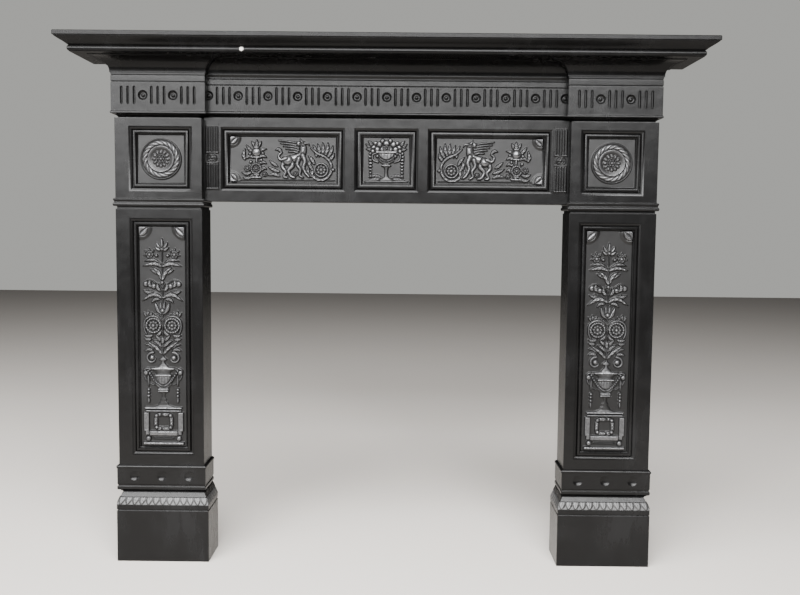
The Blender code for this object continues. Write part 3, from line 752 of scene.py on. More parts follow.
@dataclass
class Carving:
    """A relief sheet for a sunk panel, carved in millimetres across and up its field."""

    field: Field
    grid: float = 0.9
    halo: float = 2.1
    base: float = 0.25
    taper: float = 0.0
    mirror: bool = True
    u: np.ndarray = field(init=False)
    v: np.ndarray = field(init=False)
    rise: np.ndarray = field(init=False)

    def __post_init__(self) -> None:
        """Lay out the grid."""
        self.wide = (self.field.right - self.field.left) * PER_METRE
        self.tall = (self.field.high - self.field.low) * PER_METRE
        self.columns = round(self.wide / self.grid)
        self.rows = round(self.tall / self.grid)
        self.u, self.v = np.meshgrid(np.linspace(-self.wide / 2.0, self.wide / 2.0, self.columns + 1),
                                     np.linspace(0.0, self.tall, self.rows + 1))
        self.rise = np.zeros_like(self.u)

    def _window(self, low: np.ndarray, high: np.ndarray) -> Window:
        """The part of the grid between two corners."""
        step_u, step_v = self.wide / self.columns, self.tall / self.rows
        c0 = max(0, int((low[0] + self.wide / 2.0) / step_u))
        c1 = min(self.columns + 1, int((high[0] + self.wide / 2.0) / step_u) + 2)
        r0 = max(0, int(low[1] / step_v))
        r1 = min(self.rows + 1, int(high[1] / step_v) + 2)
        return slice(r0, max(r0, r1)), slice(c0, max(c0, c1))

    def _twins(self, u: float) -> Sequence[float]:
        """The middles of a form and, where it has one, of its twin on the other side."""
        return (u, -u) if self.mirror and u else (u,)

    def _lay(self, window: Window, outside: np.ndarray, height: np.ndarray, keep: float = 0.35) -> None:
        """Lay a form over what is there, with a narrow valley round it.

        Args:
            window: The part of the grid.
            outside: Distance out from the form's edge, negative inside.
            height: The form's height.
            keep: The share of what is under the form that still shows.
        """
        there = self.rise[window]
        t = np.clip(outside / self.halo, 0.0, 1.0)
        there = there * (keep + (1.0 - keep) * t * t * (3.0 - 2.0 * t))
        self.rise[window] = np.maximum(there, np.where(outside < 0.0, height, 0.0))

    def sweep(self, path: Sequence[Point], cut: Cut) -> None:
        """Carve a form along a line, and its twin unless the line is the middle one.

        Args:
            path: Points across and up.
            cut: How the form is carved.
        """
        line = flow(path)
        for side in ((1.0, -1.0) if self.mirror and any(u for u, _ in path) else (1.0,)):
            self._sweep(line * (side, 1.0), cut)

    def _sweep(self, line: np.ndarray, cut: Cut) -> None:
        """Carve a form along one line of points."""
        reach = cut.half * 1.1 + self.halo
        window = self._window(line.min(0) - reach, line.max(0) + reach)
        u, v = self.u[window][..., None], self.v[window][..., None]
        if u.size == 0:
            return
        start, step = line[:-1], line[1:] - line[:-1]
        length = np.maximum(np.hypot(*step.T), 1e-9)
        t = np.clip(((u - start[:, 0]) * step[:, 0] + (v - start[:, 1]) * step[:, 1]) / length ** 2, 0, 1)
        gap = np.hypot(u - start[:, 0] - t * step[:, 0], v - start[:, 1] - t * step[:, 1])
        near = gap.argmin(-1)[..., None]
        off = np.take_along_axis(gap, near, -1)[..., 0]
        before = np.concatenate([[0.0], np.cumsum(length)[:-1]])
        share = (before[near[..., 0]] + np.take_along_axis(t, near, -1)[..., 0] * length[near[..., 0]])
        share = share / length.sum()
        half = cut.width(share)
        self._lay(window, off - half, cut.surface(share, off, off / half))

    def _round(self, u: float, v: float, reach: float) -> tuple[Window, np.ndarray, np.ndarray]:
        """Polar places round a centre.

        Args:
            u: The centre across.
            v: The centre up.
            reach: How far round it.

        Returns:
            The part of the grid, the distances and the angles.
        """
        centre = np.array((u, v))
        window = self._window(centre - reach - self.halo, centre + reach + self.halo)
        du, dv = self.u[window] - u, self.v[window] - v
        return window, np.hypot(du, dv), np.arctan2(dv, du)

    def ball(self, u: float, v: float, radius: float, rise: float, pit: float = 0.0) -> None:
        """Carve a berry, a knob or an eye.

        Args:
            u: Its centre across.
            v: Its centre up.
            radius: Its radius.
            rise: Its height.
            pit: How deep a pit in its top is.
        """
        for middle in self._twins(u):
            window, far, _ = self._round(middle, v, radius)
            height = rise * np.clip(1.0 - (far / radius) ** 2, 0.0, 1.0) ** 0.5
            height = height - pit * np.exp(-(far / (0.35 * radius)) ** 2)
            self._lay(window, far - radius, height)

    def ring(self, u: float, v: float, radius: float, half: float, rise: float, beads: int = 0) -> None:
        """Carve a raised ring, plain or beaded.

        Args:
            u: Its centre across.
            v: Its centre up.
            radius: The radius of its middle line.
            half: Half its width.
            rise: Its height.
            beads: Beads in the ring, if any.
        """
        for middle in self._twins(u):
            window, far, turn = self._round(middle, v, radius + half)
            off = np.abs(far - radius)
            height = rise * np.clip(1.0 - (off / half) ** 2, 0.0, 1.0) ** 0.6
            if beads:
                height = height * (0.62 + 0.38 * np.abs(np.cos(beads * turn / 2.0)))
            self._lay(window, off - half, height, 0.6)

    def flower(self, u: float, v: float, radius: float, rise: float, petals: int,
               eye: float = 0.34) -> None:
        """Carve a round flower: cupped petals and a raised eye.

        Args:
            u: Its centre across.
            v: Its centre up.
            radius: Its radius.
            rise: Its height at the petals' tips.
            petals: How many petals.
            eye: The eye's radius as a share.
        """
        for middle in self._twins(u):
            window, far, angle = self._round(middle, v, radius)
            wave = np.abs(np.cos(petals * angle / 2.0))
            edge = radius * (0.80 + 0.20 * wave ** 0.5)
            share = np.clip(far / edge, 0.0, 1.0)
            height = rise * (0.42 + 0.58 * share ** 1.5) * (1.0 - share ** 8) * (0.55 + 0.45 * wave ** 0.5)
            self._lay(window, far - edge, height)
        self.ball(u, v, radius * eye, rise * 1.05)

    def vase(self, outline: Sequence[Point], rise: float, flutes: int = 0) -> None:
        """Carve a turned form that stands on the field's middle line.

        Args:
            outline: Half width and height, going up.
            rise: Its height off the ground.
            flutes: Upright flutes round its visible half.
        """
        line = np.array(ease(outline, 1.2))
        low, high, widest = line[:, 1].min(), line[:, 1].max(), line[:, 0].max()
        window = self._window(np.array((-widest - 2.0, low)), np.array((widest + 2.0, high)))
        u, v = self.u[window], self.v[window]
        half = np.interp(v, line[:, 1], line[:, 0], left=0.02, right=0.02)
        across = np.clip(np.abs(u) / half, 0.0, 1.0)
        height = rise * (0.35 + 0.65 * np.sqrt(1.0 - across ** 2)) * (0.55 + 0.45 * half / widest)
        if flutes:
            height = height * (0.80 + 0.20 * np.abs(np.cos(flutes * np.arcsin(across))))
        self._lay(window, np.abs(u) - half, height, 0.2)

    def slab(self, u: float, v: float, half_u: float, half_v: float, rise: float, bevel: float = 0.8
             ) -> None:
        """Carve a flat block with bevelled edges.

        Args:
            u: Its centre across.
            v: Its centre up.
            half_u: Half its width.
            half_v: Half its height.
            rise: How far it stands off the ground.
            bevel: The width of its bevel.
        """
        for middle in self._twins(u):
            centre, reach = np.array((middle, v)), np.array((half_u + self.halo, half_v + self.halo))
            window = self._window(centre - reach, centre + reach)
            out = np.maximum(np.abs(self.u[window] - middle) - half_u, np.abs(self.v[window] - v) - half_v)
            self._lay(window, out, rise * np.clip(-out / bevel + 0.35, 0.0, 1.0), 0.9)

    def scroll(self, u: float, v: float, radius: float, start: float, turns: float, cut: Cut,
               eye: float = 3.0) -> None:
        """Carve a scroll that winds in to a round eye.

        Args:
            u: The eye across.
            v: The eye up.
            radius: The scroll's outer radius.
            start: The angle where it starts, in degrees.
            turns: Turns to the eye, negative for the other way round.
            cut: How it is carved.
            eye: The eye's radius.
        """
        points = []
        for t in np.linspace(0.0, 1.0, 16):
            angle = radians(start) + 2.0 * pi * turns * t
            far = radius * (1.0 - t) ** 0.9 + eye * 0.5 * t
            points.append((u + far * cos(angle), v + far * sin(angle)))
        self.sweep(points, cut)
        self.ball(u, v, eye, cut.rise * 1.15)

    def corner(self, top: bool, radius: float) -> None:
        """Carve a raised quarter round with a leaf on it, in the upper or lower corners.

        Args:
            top: Whether they are the upper corners.
            radius: The quarter round's radius.
        """
        side, level = self.wide / 2.0, self.tall if top else 0.0
        down = -radius if top else radius
        for middle in self._twins(side):
            window, far, _ = self._round(middle, level, radius)
            dome = 7.4 * np.clip(1.0 - (far / radius) ** 2.4, 0.0, 1.0) ** 0.85
            self._lay(window, far - radius, dome, 0.1)
        path = [(side - a * radius, level + b * down)
                for a, b in ((0.06, 0.66), (0.40, 0.40), (0.66, 0.06))]
        self.sweep(path, Cut(half=radius * 0.20, rise=8.4, belly=1.0, groove=0.5))

    def leaflets(self, root: Point, tips: Iterable[Point], cut: Cut) -> None:
        """Carve leaflets that spread from one root."""
        for tip in tips:
            self.sweep([root, ((root[0] + tip[0]) / 2, (root[1] + tip[1]) / 2), tip], cut)

    def sweeps(self, paths: Iterable[Sequence[Point]], cut: Cut) -> None:
        """Carve one kind of form along several lines."""
        for path in paths:
            self.sweep(path, cut)

    def balls(self, places: Iterable[tuple[float, float, float]], rise: float, pit: float = 0.0) -> None:
        """Carve several berries, each given by its places across and up and its radius."""
        for u, v, radius in places:
            self.ball(u, v, radius, rise, pit)

    def mesh(self, name: str) -> Mesh:
        """Cast the sheet: a fine grid at the carved heights, closed behind.

        Args:
            name: The mesh's name.

        Returns:
            The closed sheet.
        """
        soft = self.rise.copy()
        for axis in (0, 1):
            soft = 0.5 * soft + 0.25 * (np.roll(soft, -1, axis) + np.roll(soft, 1, axis))
        soft[0, :], soft[-1, :], soft[:, 0], soft[:, -1] = 0.0, 0.0, 0.0, 0.0
        bm = bmesh.new()
        bmesh.ops.create_grid(bm, x_segments=self.columns, y_segments=self.rows, size=0.5)
        back, rim = pull(bm, [edge for edge in bm.edges if edge.is_boundary])
        bmesh.ops.translate(bm, verts=back, vec=(0.0, 0.0, -1.0))
        bmesh.ops.edgeloop_fill(bm, edges=rim)
        mesh = to_mesh(bm, name)
        places = np.empty(len(mesh.vertices) * 3)
        mesh.vertices.foreach_get("co", places)
        across, up, out = places.reshape(-1, 3).T
        column = np.rint((across + 0.5) * self.columns).astype(int)
        row = np.rint((up + 0.5) * self.rows).astype(int)
        front, bed = out > -0.5, LEVELS.sheet_bed * PER_METRE - BACK_CLEARANCE
        height = np.where(front, soft[row, column] + self.base, -bed)
        left, low = self.field.left + SHEET_CLEARANCE, self.field.low + SHEET_CLEARANCE
        x = left + (across + 0.5) * (self.field.right - self.field.left - 2 * SHEET_CLEARANCE)
        x = x - (up + 0.5) * 2.0 * self.taper * across
        z = low + (up + 0.5) * (self.field.high - self.field.low - 2 * SHEET_CLEARANCE)
        y = LEVELS.wall - self.field.depth - height / PER_METRE
        mesh.vertices.foreach_set("co", np.column_stack([x, y, z]).ravel())
        # The relief attribute, height over BRIGHT_HEIGHT, drives the painted highlight on the raised
        # relief.
        relief = mesh.attributes.new("relief", "FLOAT", "POINT")
        relief.data.foreach_set("value", np.where(front, soft[row, column] / BRIGHT_HEIGHT, 0.0))
        mesh.update()
        bm = bmesh.new()
        bm.from_mesh(mesh)
        bmesh.ops.recalc_face_normals(bm, faces=bm.faces)
        bm.to_mesh(mesh)
        bm.free()
        return mesh

    def tongues(self, leaves: int, rise: float) -> None:
        """Carve a row of leaves side by side, with their tips down.

        Args:
            leaves: How many leaves.
            rise: Their height.
        """
        up = self.v / self.tall
        off = np.abs((self.u * leaves / self.wide + leaves / 2.0) % 1.0 - 0.5) * 2.0
        width = np.clip(up / 0.62, 0.001, 1.0) ** 0.62 * 0.97
        bulge = np.clip(1.0 - (off / width) ** 2, 0.0, 1.0) ** 0.45
        self.rise = rise * bulge * (1.0 - 0.45 * up) - 0.5 * np.exp(-(off / 0.10) ** 2) * (up > 0.25)

    def leg(self) -> None:
        """The tall panel: a flowering candelabrum that grows out of an urn on a pedestal."""
        self.corner(True, 35.0)
        self._leg_crown()
        self._leg_boughs()
        self._leg_scrolls()
        self._leg_urn()
        self._leg_pedestal()

    def _leg_crown(self) -> None:
        """The stem, the bud at its top and the two flowers under it."""
        self.sweep([(0, 246), (0, 330), (0, 420), (0, 500), (0, 532)], Cut(half=2.1, rise=4.8, end=0.7))
        self.sweeps(([(1, 530), (9, 537), (15, 549)], [(1, 527), (10, 529), (18, 536)],
                     [(0, 530), (0, 544), (0, 559)]), PETAL)
        self.ball(0, 530, 4.6, 7.6)
        self.sweep([(2, 492), (14, 499), (24, 507)], TENDRIL)
        self.leaflets((33, 515), ((46, 527), (34, 533), (21, 529), (49, 513)), SLIM_LEAF)
        self.flower(33, 515, 11.0, 7.4, 6, 0.44)
        self.ball(15, 513, 4.6, 6.4)

    def _leg_boughs(self) -> None:
        """The two tiers of boughs with their berries."""
        self.sweep([(3, 489), (18, 499), (34, 501), (48, 497)],
                   Cut(half=4.8, rise=7.0, belly=1.0, veins=4, groove=1.1))
        self.sweep([(0, 483), (16, 490), (32, 490), (51, 485)], BOUGH)
        self.sweep([(1, 462), (16, 468), (32, 476)], LEAF)
        self.sweep([(0, 446), (6, 462), (14, 473), (25, 481)],
                   Cut(half=6.4, rise=8.2, belly=0.7, start=0.5, veins=3, groove=1.4))
        self.sweeps(([(0, 426), (8, 438), (22, 440)], [(18, 440), (30, 448), (43, 446)]), TENDRIL)
        self.balls(((43, 437, 7.8), (22, 431, 7.2)), 8.6, 1.2)
        self.ball(0, 441, 5.0, 7.0)
        self.sweeps(([(4, 418), (12, 427), (12, 440)], [(28, 428), (34, 436), (32, 450)],
                     [(4, 404), (20, 411), (38, 422)], [(24, 412), (38, 414), (51, 420)],
                     [(6, 396), (20, 396), (30, 386)]), LEAF)
        self.sweep([(0, 399), (14, 407), (31, 407), (54, 392)], BOUGH)
        self.sweep([(0, 357), (12, 368), (19, 387)],
                   Cut(half=6.6, rise=8.2, belly=0.8, start=0.5, groove=1.2))
        self.sweep([(0, 360), (4, 374), (6, 391)], PETAL)
        self.ball(0, 366, 6.0, 8.4)

    def _leg_scrolls(self) -> None:
        """The ringed flowers and the scrolls over the urn."""
        self.leaflets((36, 346), ((51, 361), (40, 367), (28, 362)), LEAF)
        self.sweep([(2, 338), (12, 350), (24, 357)], LEAF)
        self.sweep([(4, 328), (12, 346), (30, 351), (47, 340), (49, 318), (43, 303)],
                   Cut(half=3.0, rise=6.8, end=0.8, groove=0.8))
        self.ring(25, 326, 18.6, 3.6, 7.0, 18)
        self.flower(25, 326, 14.6, 7.6, 8, 0.36)
        self.sweeps(([(4, 312), (10, 303), (22, 299)], [(26, 301), (38, 297), (50, 301)],
                     [(2, 284), (12, 292), (20, 300)], [(30, 290), (40, 288), (50, 292)],
                     [(24, 263), (34, 274), (49, 275)], [(24, 255), (36, 262), (50, 258)],
                     [(2, 268), (14, 280), (26, 286)], [(0, 276), (0, 288), (0, 299)]), LEAF)
        self.sweep([(2, 249), (14, 264), (28, 275), (42, 284)],
                   Cut(half=5.4, rise=8.4, belly=0.8, start=0.6, veins=4, groove=1.3))
        self.scroll(29, 238, 16.0, 100, -1.1, Cut(half=3.8, rise=6.4, end=0.7, groove=1.0), 4.0)
        self.ball(29, 240, 7.2, 8.8)

    def _leg_urn(self) -> None:
        """The urn with its lid, handles, swag and drops."""
        self.vase([(36, 211), (34, 213), (14, 215), (11.5, 219), (6, 224), (4, 229), (4, 232), (10.5, 233),
                   (11, 236), (7, 239), (3, 242), (0, 247)], 8.4)
        self.slab(0, 210, 35, 2.6, 8.8, 1.6)
        self.sweep([(34, 208), (43, 211), (51, 205), (50, 194)], Cut(half=2.8, rise=6.4, end=0.7))
        self.sweep([(50, 196), (47, 184), (36, 172), (24, 166)], Cut(half=2.4, rise=6.0, end=0.7))
        self.vase([(30, 104), (29, 107), (14, 112), (12, 118), (7, 123), (9, 127), (6, 131), (3.5, 136),
                   (5, 142), (7, 146), (14, 147.5), (14, 157.5), (16, 159), (21, 165), (24.5, 173),
                   (25, 181), (22, 188), (22, 194.5), (18.5, 196), (20, 202), (28, 206.5), (33, 208.5)],
                  5.6)
        self.vase([(15, 159.5), (20, 165), (23.5, 173), (24, 181), (21, 187)], 6.0, 9)
        self.slab(0, 192, 22.5, 2.9, 8.8, 1.5)
        self.slab(0, 155, 14.5, 2.3, 8.0, 1.2)
        self.slab(0, 149.4, 14.5, 2.3, 7.8, 1.2)
        self.ball(46, 199, 7.0, 8.6, 1.4)
        for t in np.linspace(0.0, 1.0, 13):
            self.ball(1.0 + 38.0 * t ** 1.15, 163.0 + 42.0 * t ** 2.0, 3.4, 9.0)
        self.sweep([(39, 192), (39, 178), (39, 160)], Cut(half=3.4, rise=5.8, belly=0.8))
        self.balls([(39, v, 4.4) for v in (154, 145.5, 136.5)], 7.6)
        self.sweep([(39, 132), (39, 124), (39, 116)], SLIM_LEAF)

    def _leg_pedestal(self) -> None:
        """The pedestal with its wreath and steps."""
        self.slab(0, 103.5, 50, 2.7, 8.0, 1.5)
        self.slab(0, 96, 49, 2.4, 6.4, 1.2)
        self.slab(46, 66, 7.4, 26, 6.8, 2.0)
        self.slab(46, 66, 3.4, 20, 5.0, 1.2)
        self.sweep([(0, 86), (17, 84), (21, 68), (18, 50), (0, 47)],
                   Cut(half=6.0, rise=7.8, end=1.0, veins=9, groove=0.8))
        self.balls([(19, v, 5.4) for v in (51, 83)], 8.6)
        self.slab(0, 35, 38, 6.6, 7.6, 2.0)
        self.slab(44, 36, 5.4, 5.6, 6.4, 1.6)
        self.ball(41, 21, 7.4, 8.8, 0.8)
        self.slab(0, 21, 27, 1.6, 3.8)
        self.slab(0, 7.4, 55, 3.8, 8.4, 2.0)

    def side_panel(self) -> None:
        """A long header panel: a leafy scroll with a flower, a winged beast and a flowering stand."""
        for top in (True, False):
            self.corner(top, 29.0)
        self.slab(-2, 5, 134, 1.6, 3.2, 1.2)
        self._scroll_and_flower()
        self._beast()
        self._flowering_stand()

    def _scroll_and_flower(self) -> None:
        """The leafy scroll at the panel's inner end."""
        for u, v in ((-136, 78), (-132, 98), (-119, 106), (-105, 106), (-91, 102), (-79, 100)):
            root = (-100 + 0.55 * (u + 100), 36 + 0.46 * (v - 36))
            self.sweep([root, ((root[0] + u) / 2 - 3, (root[1] + v) / 2), (u, v)], FROND)
        self.sweep([(-74, 90), (-90, 76), (-112, 66), (-127, 48), (-126, 24), (-110, 7), (-90, 7),
                    (-78, 18), (-79, 32)],
                   Cut(half=6.2, rise=8.8, start=0.4, end=0.7, belly=0.2, veins=12, groove=1.4))
        self.ring(-101, 32, 17.4, 2.6, 6.6)
        self.flower(-101, 32, 14.0, 7.8, 8, 0.38)
        self.ball(-133, 33, 4.8, 7.6)
        self.sweeps(([(-80, 30), (-70, 46), (-74, 62)], [(-76, 12), (-66, 24), (-68, 40)],
                     [(-84, 46), (-76, 60), (-66, 70)]), FROND)

    def _beast(self) -> None:
        """The winged beast: feathers, body and head, legs and tail."""
        for i, reach in enumerate((52.0, 47.0, 40.0, 33.0, 26.0)):
            low = 104.0 - 6.6 * i
            self.sweep([(-41, low - 2), (-41 + 0.5 * reach, low + 2.5), (-41 + reach, low + 5.5 - i)],
                       Cut(half=4.3, rise=8.0, start=0.8, end=0.4, veins=9, groove=1.1))
        self.ball(-42, 101, 7.0, 8.8, 1.2)
        self.sweep([(-6, 56), (-22, 60), (-40, 65), (-50, 72), (-54, 86), (-53, 99)],
                   Cut(half=12.0, rise=9.0, start=1.0, end=0.62, crown=0.5))
        self.ball(-54, 101, 7.2, 9.4)
        self.sweep([(-58, 102), (-66, 102), (-70, 96)], Cut(half=3.2, rise=7.4, end=0.3))
        self.sweep([(-51, 104), (-47, 110), (-45, 114)], Cut(half=2.8, rise=7.4, end=0.2))
        for path, half in (([(-52, 70), (-58, 54), (-54, 38), (-61, 22), (-69, 14)], 6.4),
                           ([(-42, 62), (-38, 46), (-46, 32), (-44, 18), (-52, 12)], 5.6),
                           ([(-14, 58), (-25, 44), (-14, 30), (-21, 15), (-30, 12)], 7.0),
                           ([(-4, 54), (2, 40), (-7, 27), (-2, 14), (-10, 11)], 6.0)):
            self.sweep(path, Cut(half=half, rise=8.8, end=0.5, crown=0.5))
        self.ball(-12, 56, 12.5, 9.2)
        self.sweep([(-8, 62), (6, 58), (12, 68), (4, 78)], Cut(half=4.2, rise=7.8, end=0.6, groove=1.0))
        self.sweep([(4, 78), (12, 86), (22, 84)], FROND)
        self.flower(-33, 22, 7.4, 6.6, 6, 0.45)

    def _flowering_stand(self) -> None:
        """The stand with its leaves and flowers at the panel's outer end."""
        self.sweeps(([(8, 26), (24, 31), (41, 40)], [(8, 14), (24, 20), (42, 16)],
                     [(14, 40), (26, 48), (36, 58)], [(66, 74), (56, 84), (43, 87)],
                     [(66, 62), (54, 68), (43, 63)],
                     [(66, 46), (54, 52), (44, 47)], [(62, 26), (52, 36), (44, 32)],
                     [(76, 74), (88, 84), (99, 98)], [(76, 62), (90, 67), (104, 58)],
                     [(101, 56), (105, 70), (101, 88)], [(84, 24), (98, 20), (111, 26)],
                     [(82, 12), (96, 8), (108, 11)], [(70, 88), (63, 98), (58, 108)],
                     [(71, 88), (78, 98), (84, 107)], [(70, 86), (70, 100), (70, 112)]), FROND)
        self.sweep([(70, 10), (70, 40), (71, 76)], Cut(half=4.0, rise=6.6, end=0.8))
        self.ball(71, 77, 12.0, 9.0)
        for v, half in ((90, 7.0), (64, 9.0), (11, 14.0), (18, 8.0)):
            self.slab(71, v, half, 2.4, 7.6, 1.4)
        self.ring(72, 34, 12.6, 3.2, 7.4, 14)
        self.flower(72, 34, 9.2, 7.6, 7, 0.4)
        self.flower(95, 35, 9.4, 7.8, 7, 0.42)
        self.flower(49, 20, 7.2, 7.2, 6, 0.45)
        for u, v in ((54, 75), (88, 73), (58, 57), (86, 52)):
            self.ball(u, v, 4.2, 7.6, 0.8)

    def centre_panel(self) -> None:
        """The square header panel: a footed two-handled urn heaped with fruit, between sprays."""
        self.sweeps(([(24, 80), (40, 89), (56, 104)], [(30, 86), (44, 87), (55, 90)],
                     [(36, 94), (42, 104), (49, 112)], [(8, 10), (28, 18), (48, 13)],
                     [(14, 8), (30, 9), (52, 5)]), LEAF)
        for i in range(7):
            self.slab(42, 68 - 8.4 * i, 5.6 - 0.4 * i, 2.9, 7.0, 2.2)
        self.ball(42, 77, 4.6, 7.2, 1.0)
        self.sweep([(24, 76), (36, 75), (35, 60), (22, 54)], Cut(half=2.8, rise=6.6, end=0.8))
        self.vase([(17, 5), (17, 8), (12, 11), (6, 15), (4.2, 24), (4.2, 34), (6, 40), (11, 43), (12, 46.5),
                   (9, 49), (16, 53), (22, 60), (25, 68), (25.5, 77)], 6.2)
        self.vase([(10, 50), (17, 55), (22, 62), (24.5, 70), (25, 76)], 6.6, 8)
        self.slab(0, 45, 12.5, 2.0, 8.0, 1.2)
        self.balls(((33, 92, 7.4), (36, 83, 5.6), (19, 101, 8.2), (24, 88, 7.2), (10, 88, 7.0),
                    (10, 110, 6.2), (29, 104, 5.6)), 8.8, 1.0)
        self.ball(0, 103, 8.6, 9.0, 1.2)
        self.flower(0, 90, 9.0, 9.0, 8, 0.4)
        self.slab(0, 80, 28, 3.3, 8.8, 1.8)
        for t in np.linspace(0.0, 1.0, 8):
            self.ball(1.0 + 21.0 * t, 57.0 + 12.0 * t * t, 3.0, 9.0)
        self.ball(24, 70, 4.6, 9.0)
        self.slab(0, 3, 58, 2.0, 5.0, 1.2)

    def round_flower(self) -> None:
        """The corner block's patera: a leafy wreath round a dish of petals."""
        middle = self.tall / 2.0
        window, far, turn = self._round(0.0, middle, 56.0)
        swirl = np.abs(np.sin(9.0 * (turn + 0.035 * far)))
        share = np.clip((far - 34.0) / 16.0, 0.0, 1.0)
        wreath = 7.4 * np.sin(pi * share) ** 0.55 * (0.42 + 0.58 * swirl ** 0.55)
        self._lay(window, far - 50.0, np.where(far > 34.0, wreath, 0.0))
        self.ring(0, middle, 52.0, 1.9, 4.6)
        self.ring(0, middle, 33.2, 2.1, 7.2)
        dish = 0.4 + 5.0 * np.clip(far / 31.4, 0.0, 1.0) ** 3
        petal = np.abs(np.cos(6.0 * turn)) ** 0.6
        petal = 5.8 * np.sin(pi * np.clip((far - 9.0) / 16.0, 0.0, 1.0)) ** 0.7 * petal
        self.rise[window] = np.where(far < 31.4, np.maximum(dish, petal), self.rise[window])
        self.ring(0, middle, 11.4, 1.5, 5.4)
        self.flower(0, middle, 10.0, 7.4, 6, 0.42)

    def strip(self) -> None:
        """The narrow strip at the header's end: reeds, a small rosette with a band, and a plain foot."""
        for u in (-13.5, -6.6, 0.0, 6.6, 13.5):
            for low, high in ((104, 168), (9, 70)):
                self.sweep([(u, low), (u, high)], Cut(half=2.9, rise=2.3, end=1.0, crown=0.5))
        for v in (101, 74, 6):
            self.slab(0, v, 17.5, 2.2, 2.3, 1.0)
        self.flower(0, 87.5, 9.6, 2.4, 6, 0.5)
        self.ring(0, 87.5, 12.0, 1.3, 2.0)


# Castings


@dataclass
class Workshop:
    """Turns meshes into finished pieces of the surround."""

    plain: bpy.types.Material
    panel: bpy.types.Material
    # The leaf moulding's finish: lighter iron, partly a painted highlight.
    scoured_highlit: bpy.types.Material
    sooty: bpy.types.Material
    made: list[str] = field(default_factory=list)

    def piece(self, name: str, mesh: Mesh, node: str, finish: bpy.types.Material,
              sheet: bool = False) -> None:
        """Make a mesh a piece that stands for a node of the frame.

        Args:
            name: The piece's name.
            mesh: Its mesh, already in place.
            node: The node that it stands for.
            finish: Its material.
            sheet: Whether it is a relief sheet, smooth all over, and no casting with arrises.
        """
        mesh.name = name
        mesh.materials.clear()
        mesh.materials.append(finish)
        mesh.shade_smooth()
        mesh.set_sharp_from_angle(angle=radians(180.0 if sheet else 32.0))
        obj = bpy.data.objects.new(name, mesh)
        bpy.context.scene.collection.objects.link(obj)
        if not sheet:
            normals = obj.modifiers.new("Even shading", "WEIGHTED_NORMAL")
            normals.keep_sharp = True
            normals.weight = 100
        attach(obj, BODY)
        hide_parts(node)
        self.made.append(name)
        LOG.info("%s: %d faces, stands for %s", name, len(mesh.polygons), node)


def mirrored(mesh: Mesh, name: str) -> Mesh:
    """The same mesh on the other side of the middle plane.

    Args:
        mesh: The mesh.
        name: The twin's name.

    Returns:
        The twin, its faces pointing outwards.
    """
    twin = mesh.copy()
    twin.name = name
    twin.transform(Matrix.Diagonal((-1.0, 1.0, 1.0, 1.0)))
    twin.flip_normals()
    return twin


CAP_SECTION = (
    (0.0, 0.0), (-0.20, 0.02), (-0.20, 0.05), (0.0, 0.08), (0.0, 0.31), (-0.12, 0.33), (-0.85, 0.68),
    (-0.80, 0.70), (-1.42, 0.93), (-1.6, 0.95))
BAND_SECTION = (
    (-0.33, 0.0), (0.0, 0.03), (0.05, 0.06), (0.05, 0.15), (-0.20, 0.17), (-0.20, 0.21), (0.0, 0.26),
    (0.0, 0.87), (0.10, 0.895), (0.22, 0.93), (0.22, 0.955), (0.10, 1.0))
NECK_SECTION = (
    (-0.5, 0.0), (0.72, 0.03), (0.95, 0.14), (1.0, 0.23), (0.95, 0.32), (0.75, 0.41), (0.5, 0.455),
    (0.5, 0.636), (0.83, 0.727), (0.83, 0.91), (0.0, 1.0))
NECKING_SECTION = ((0.0, 0.0), (-0.0080, 0.06), (-0.0080, 0.20), (-0.0005, 0.90))


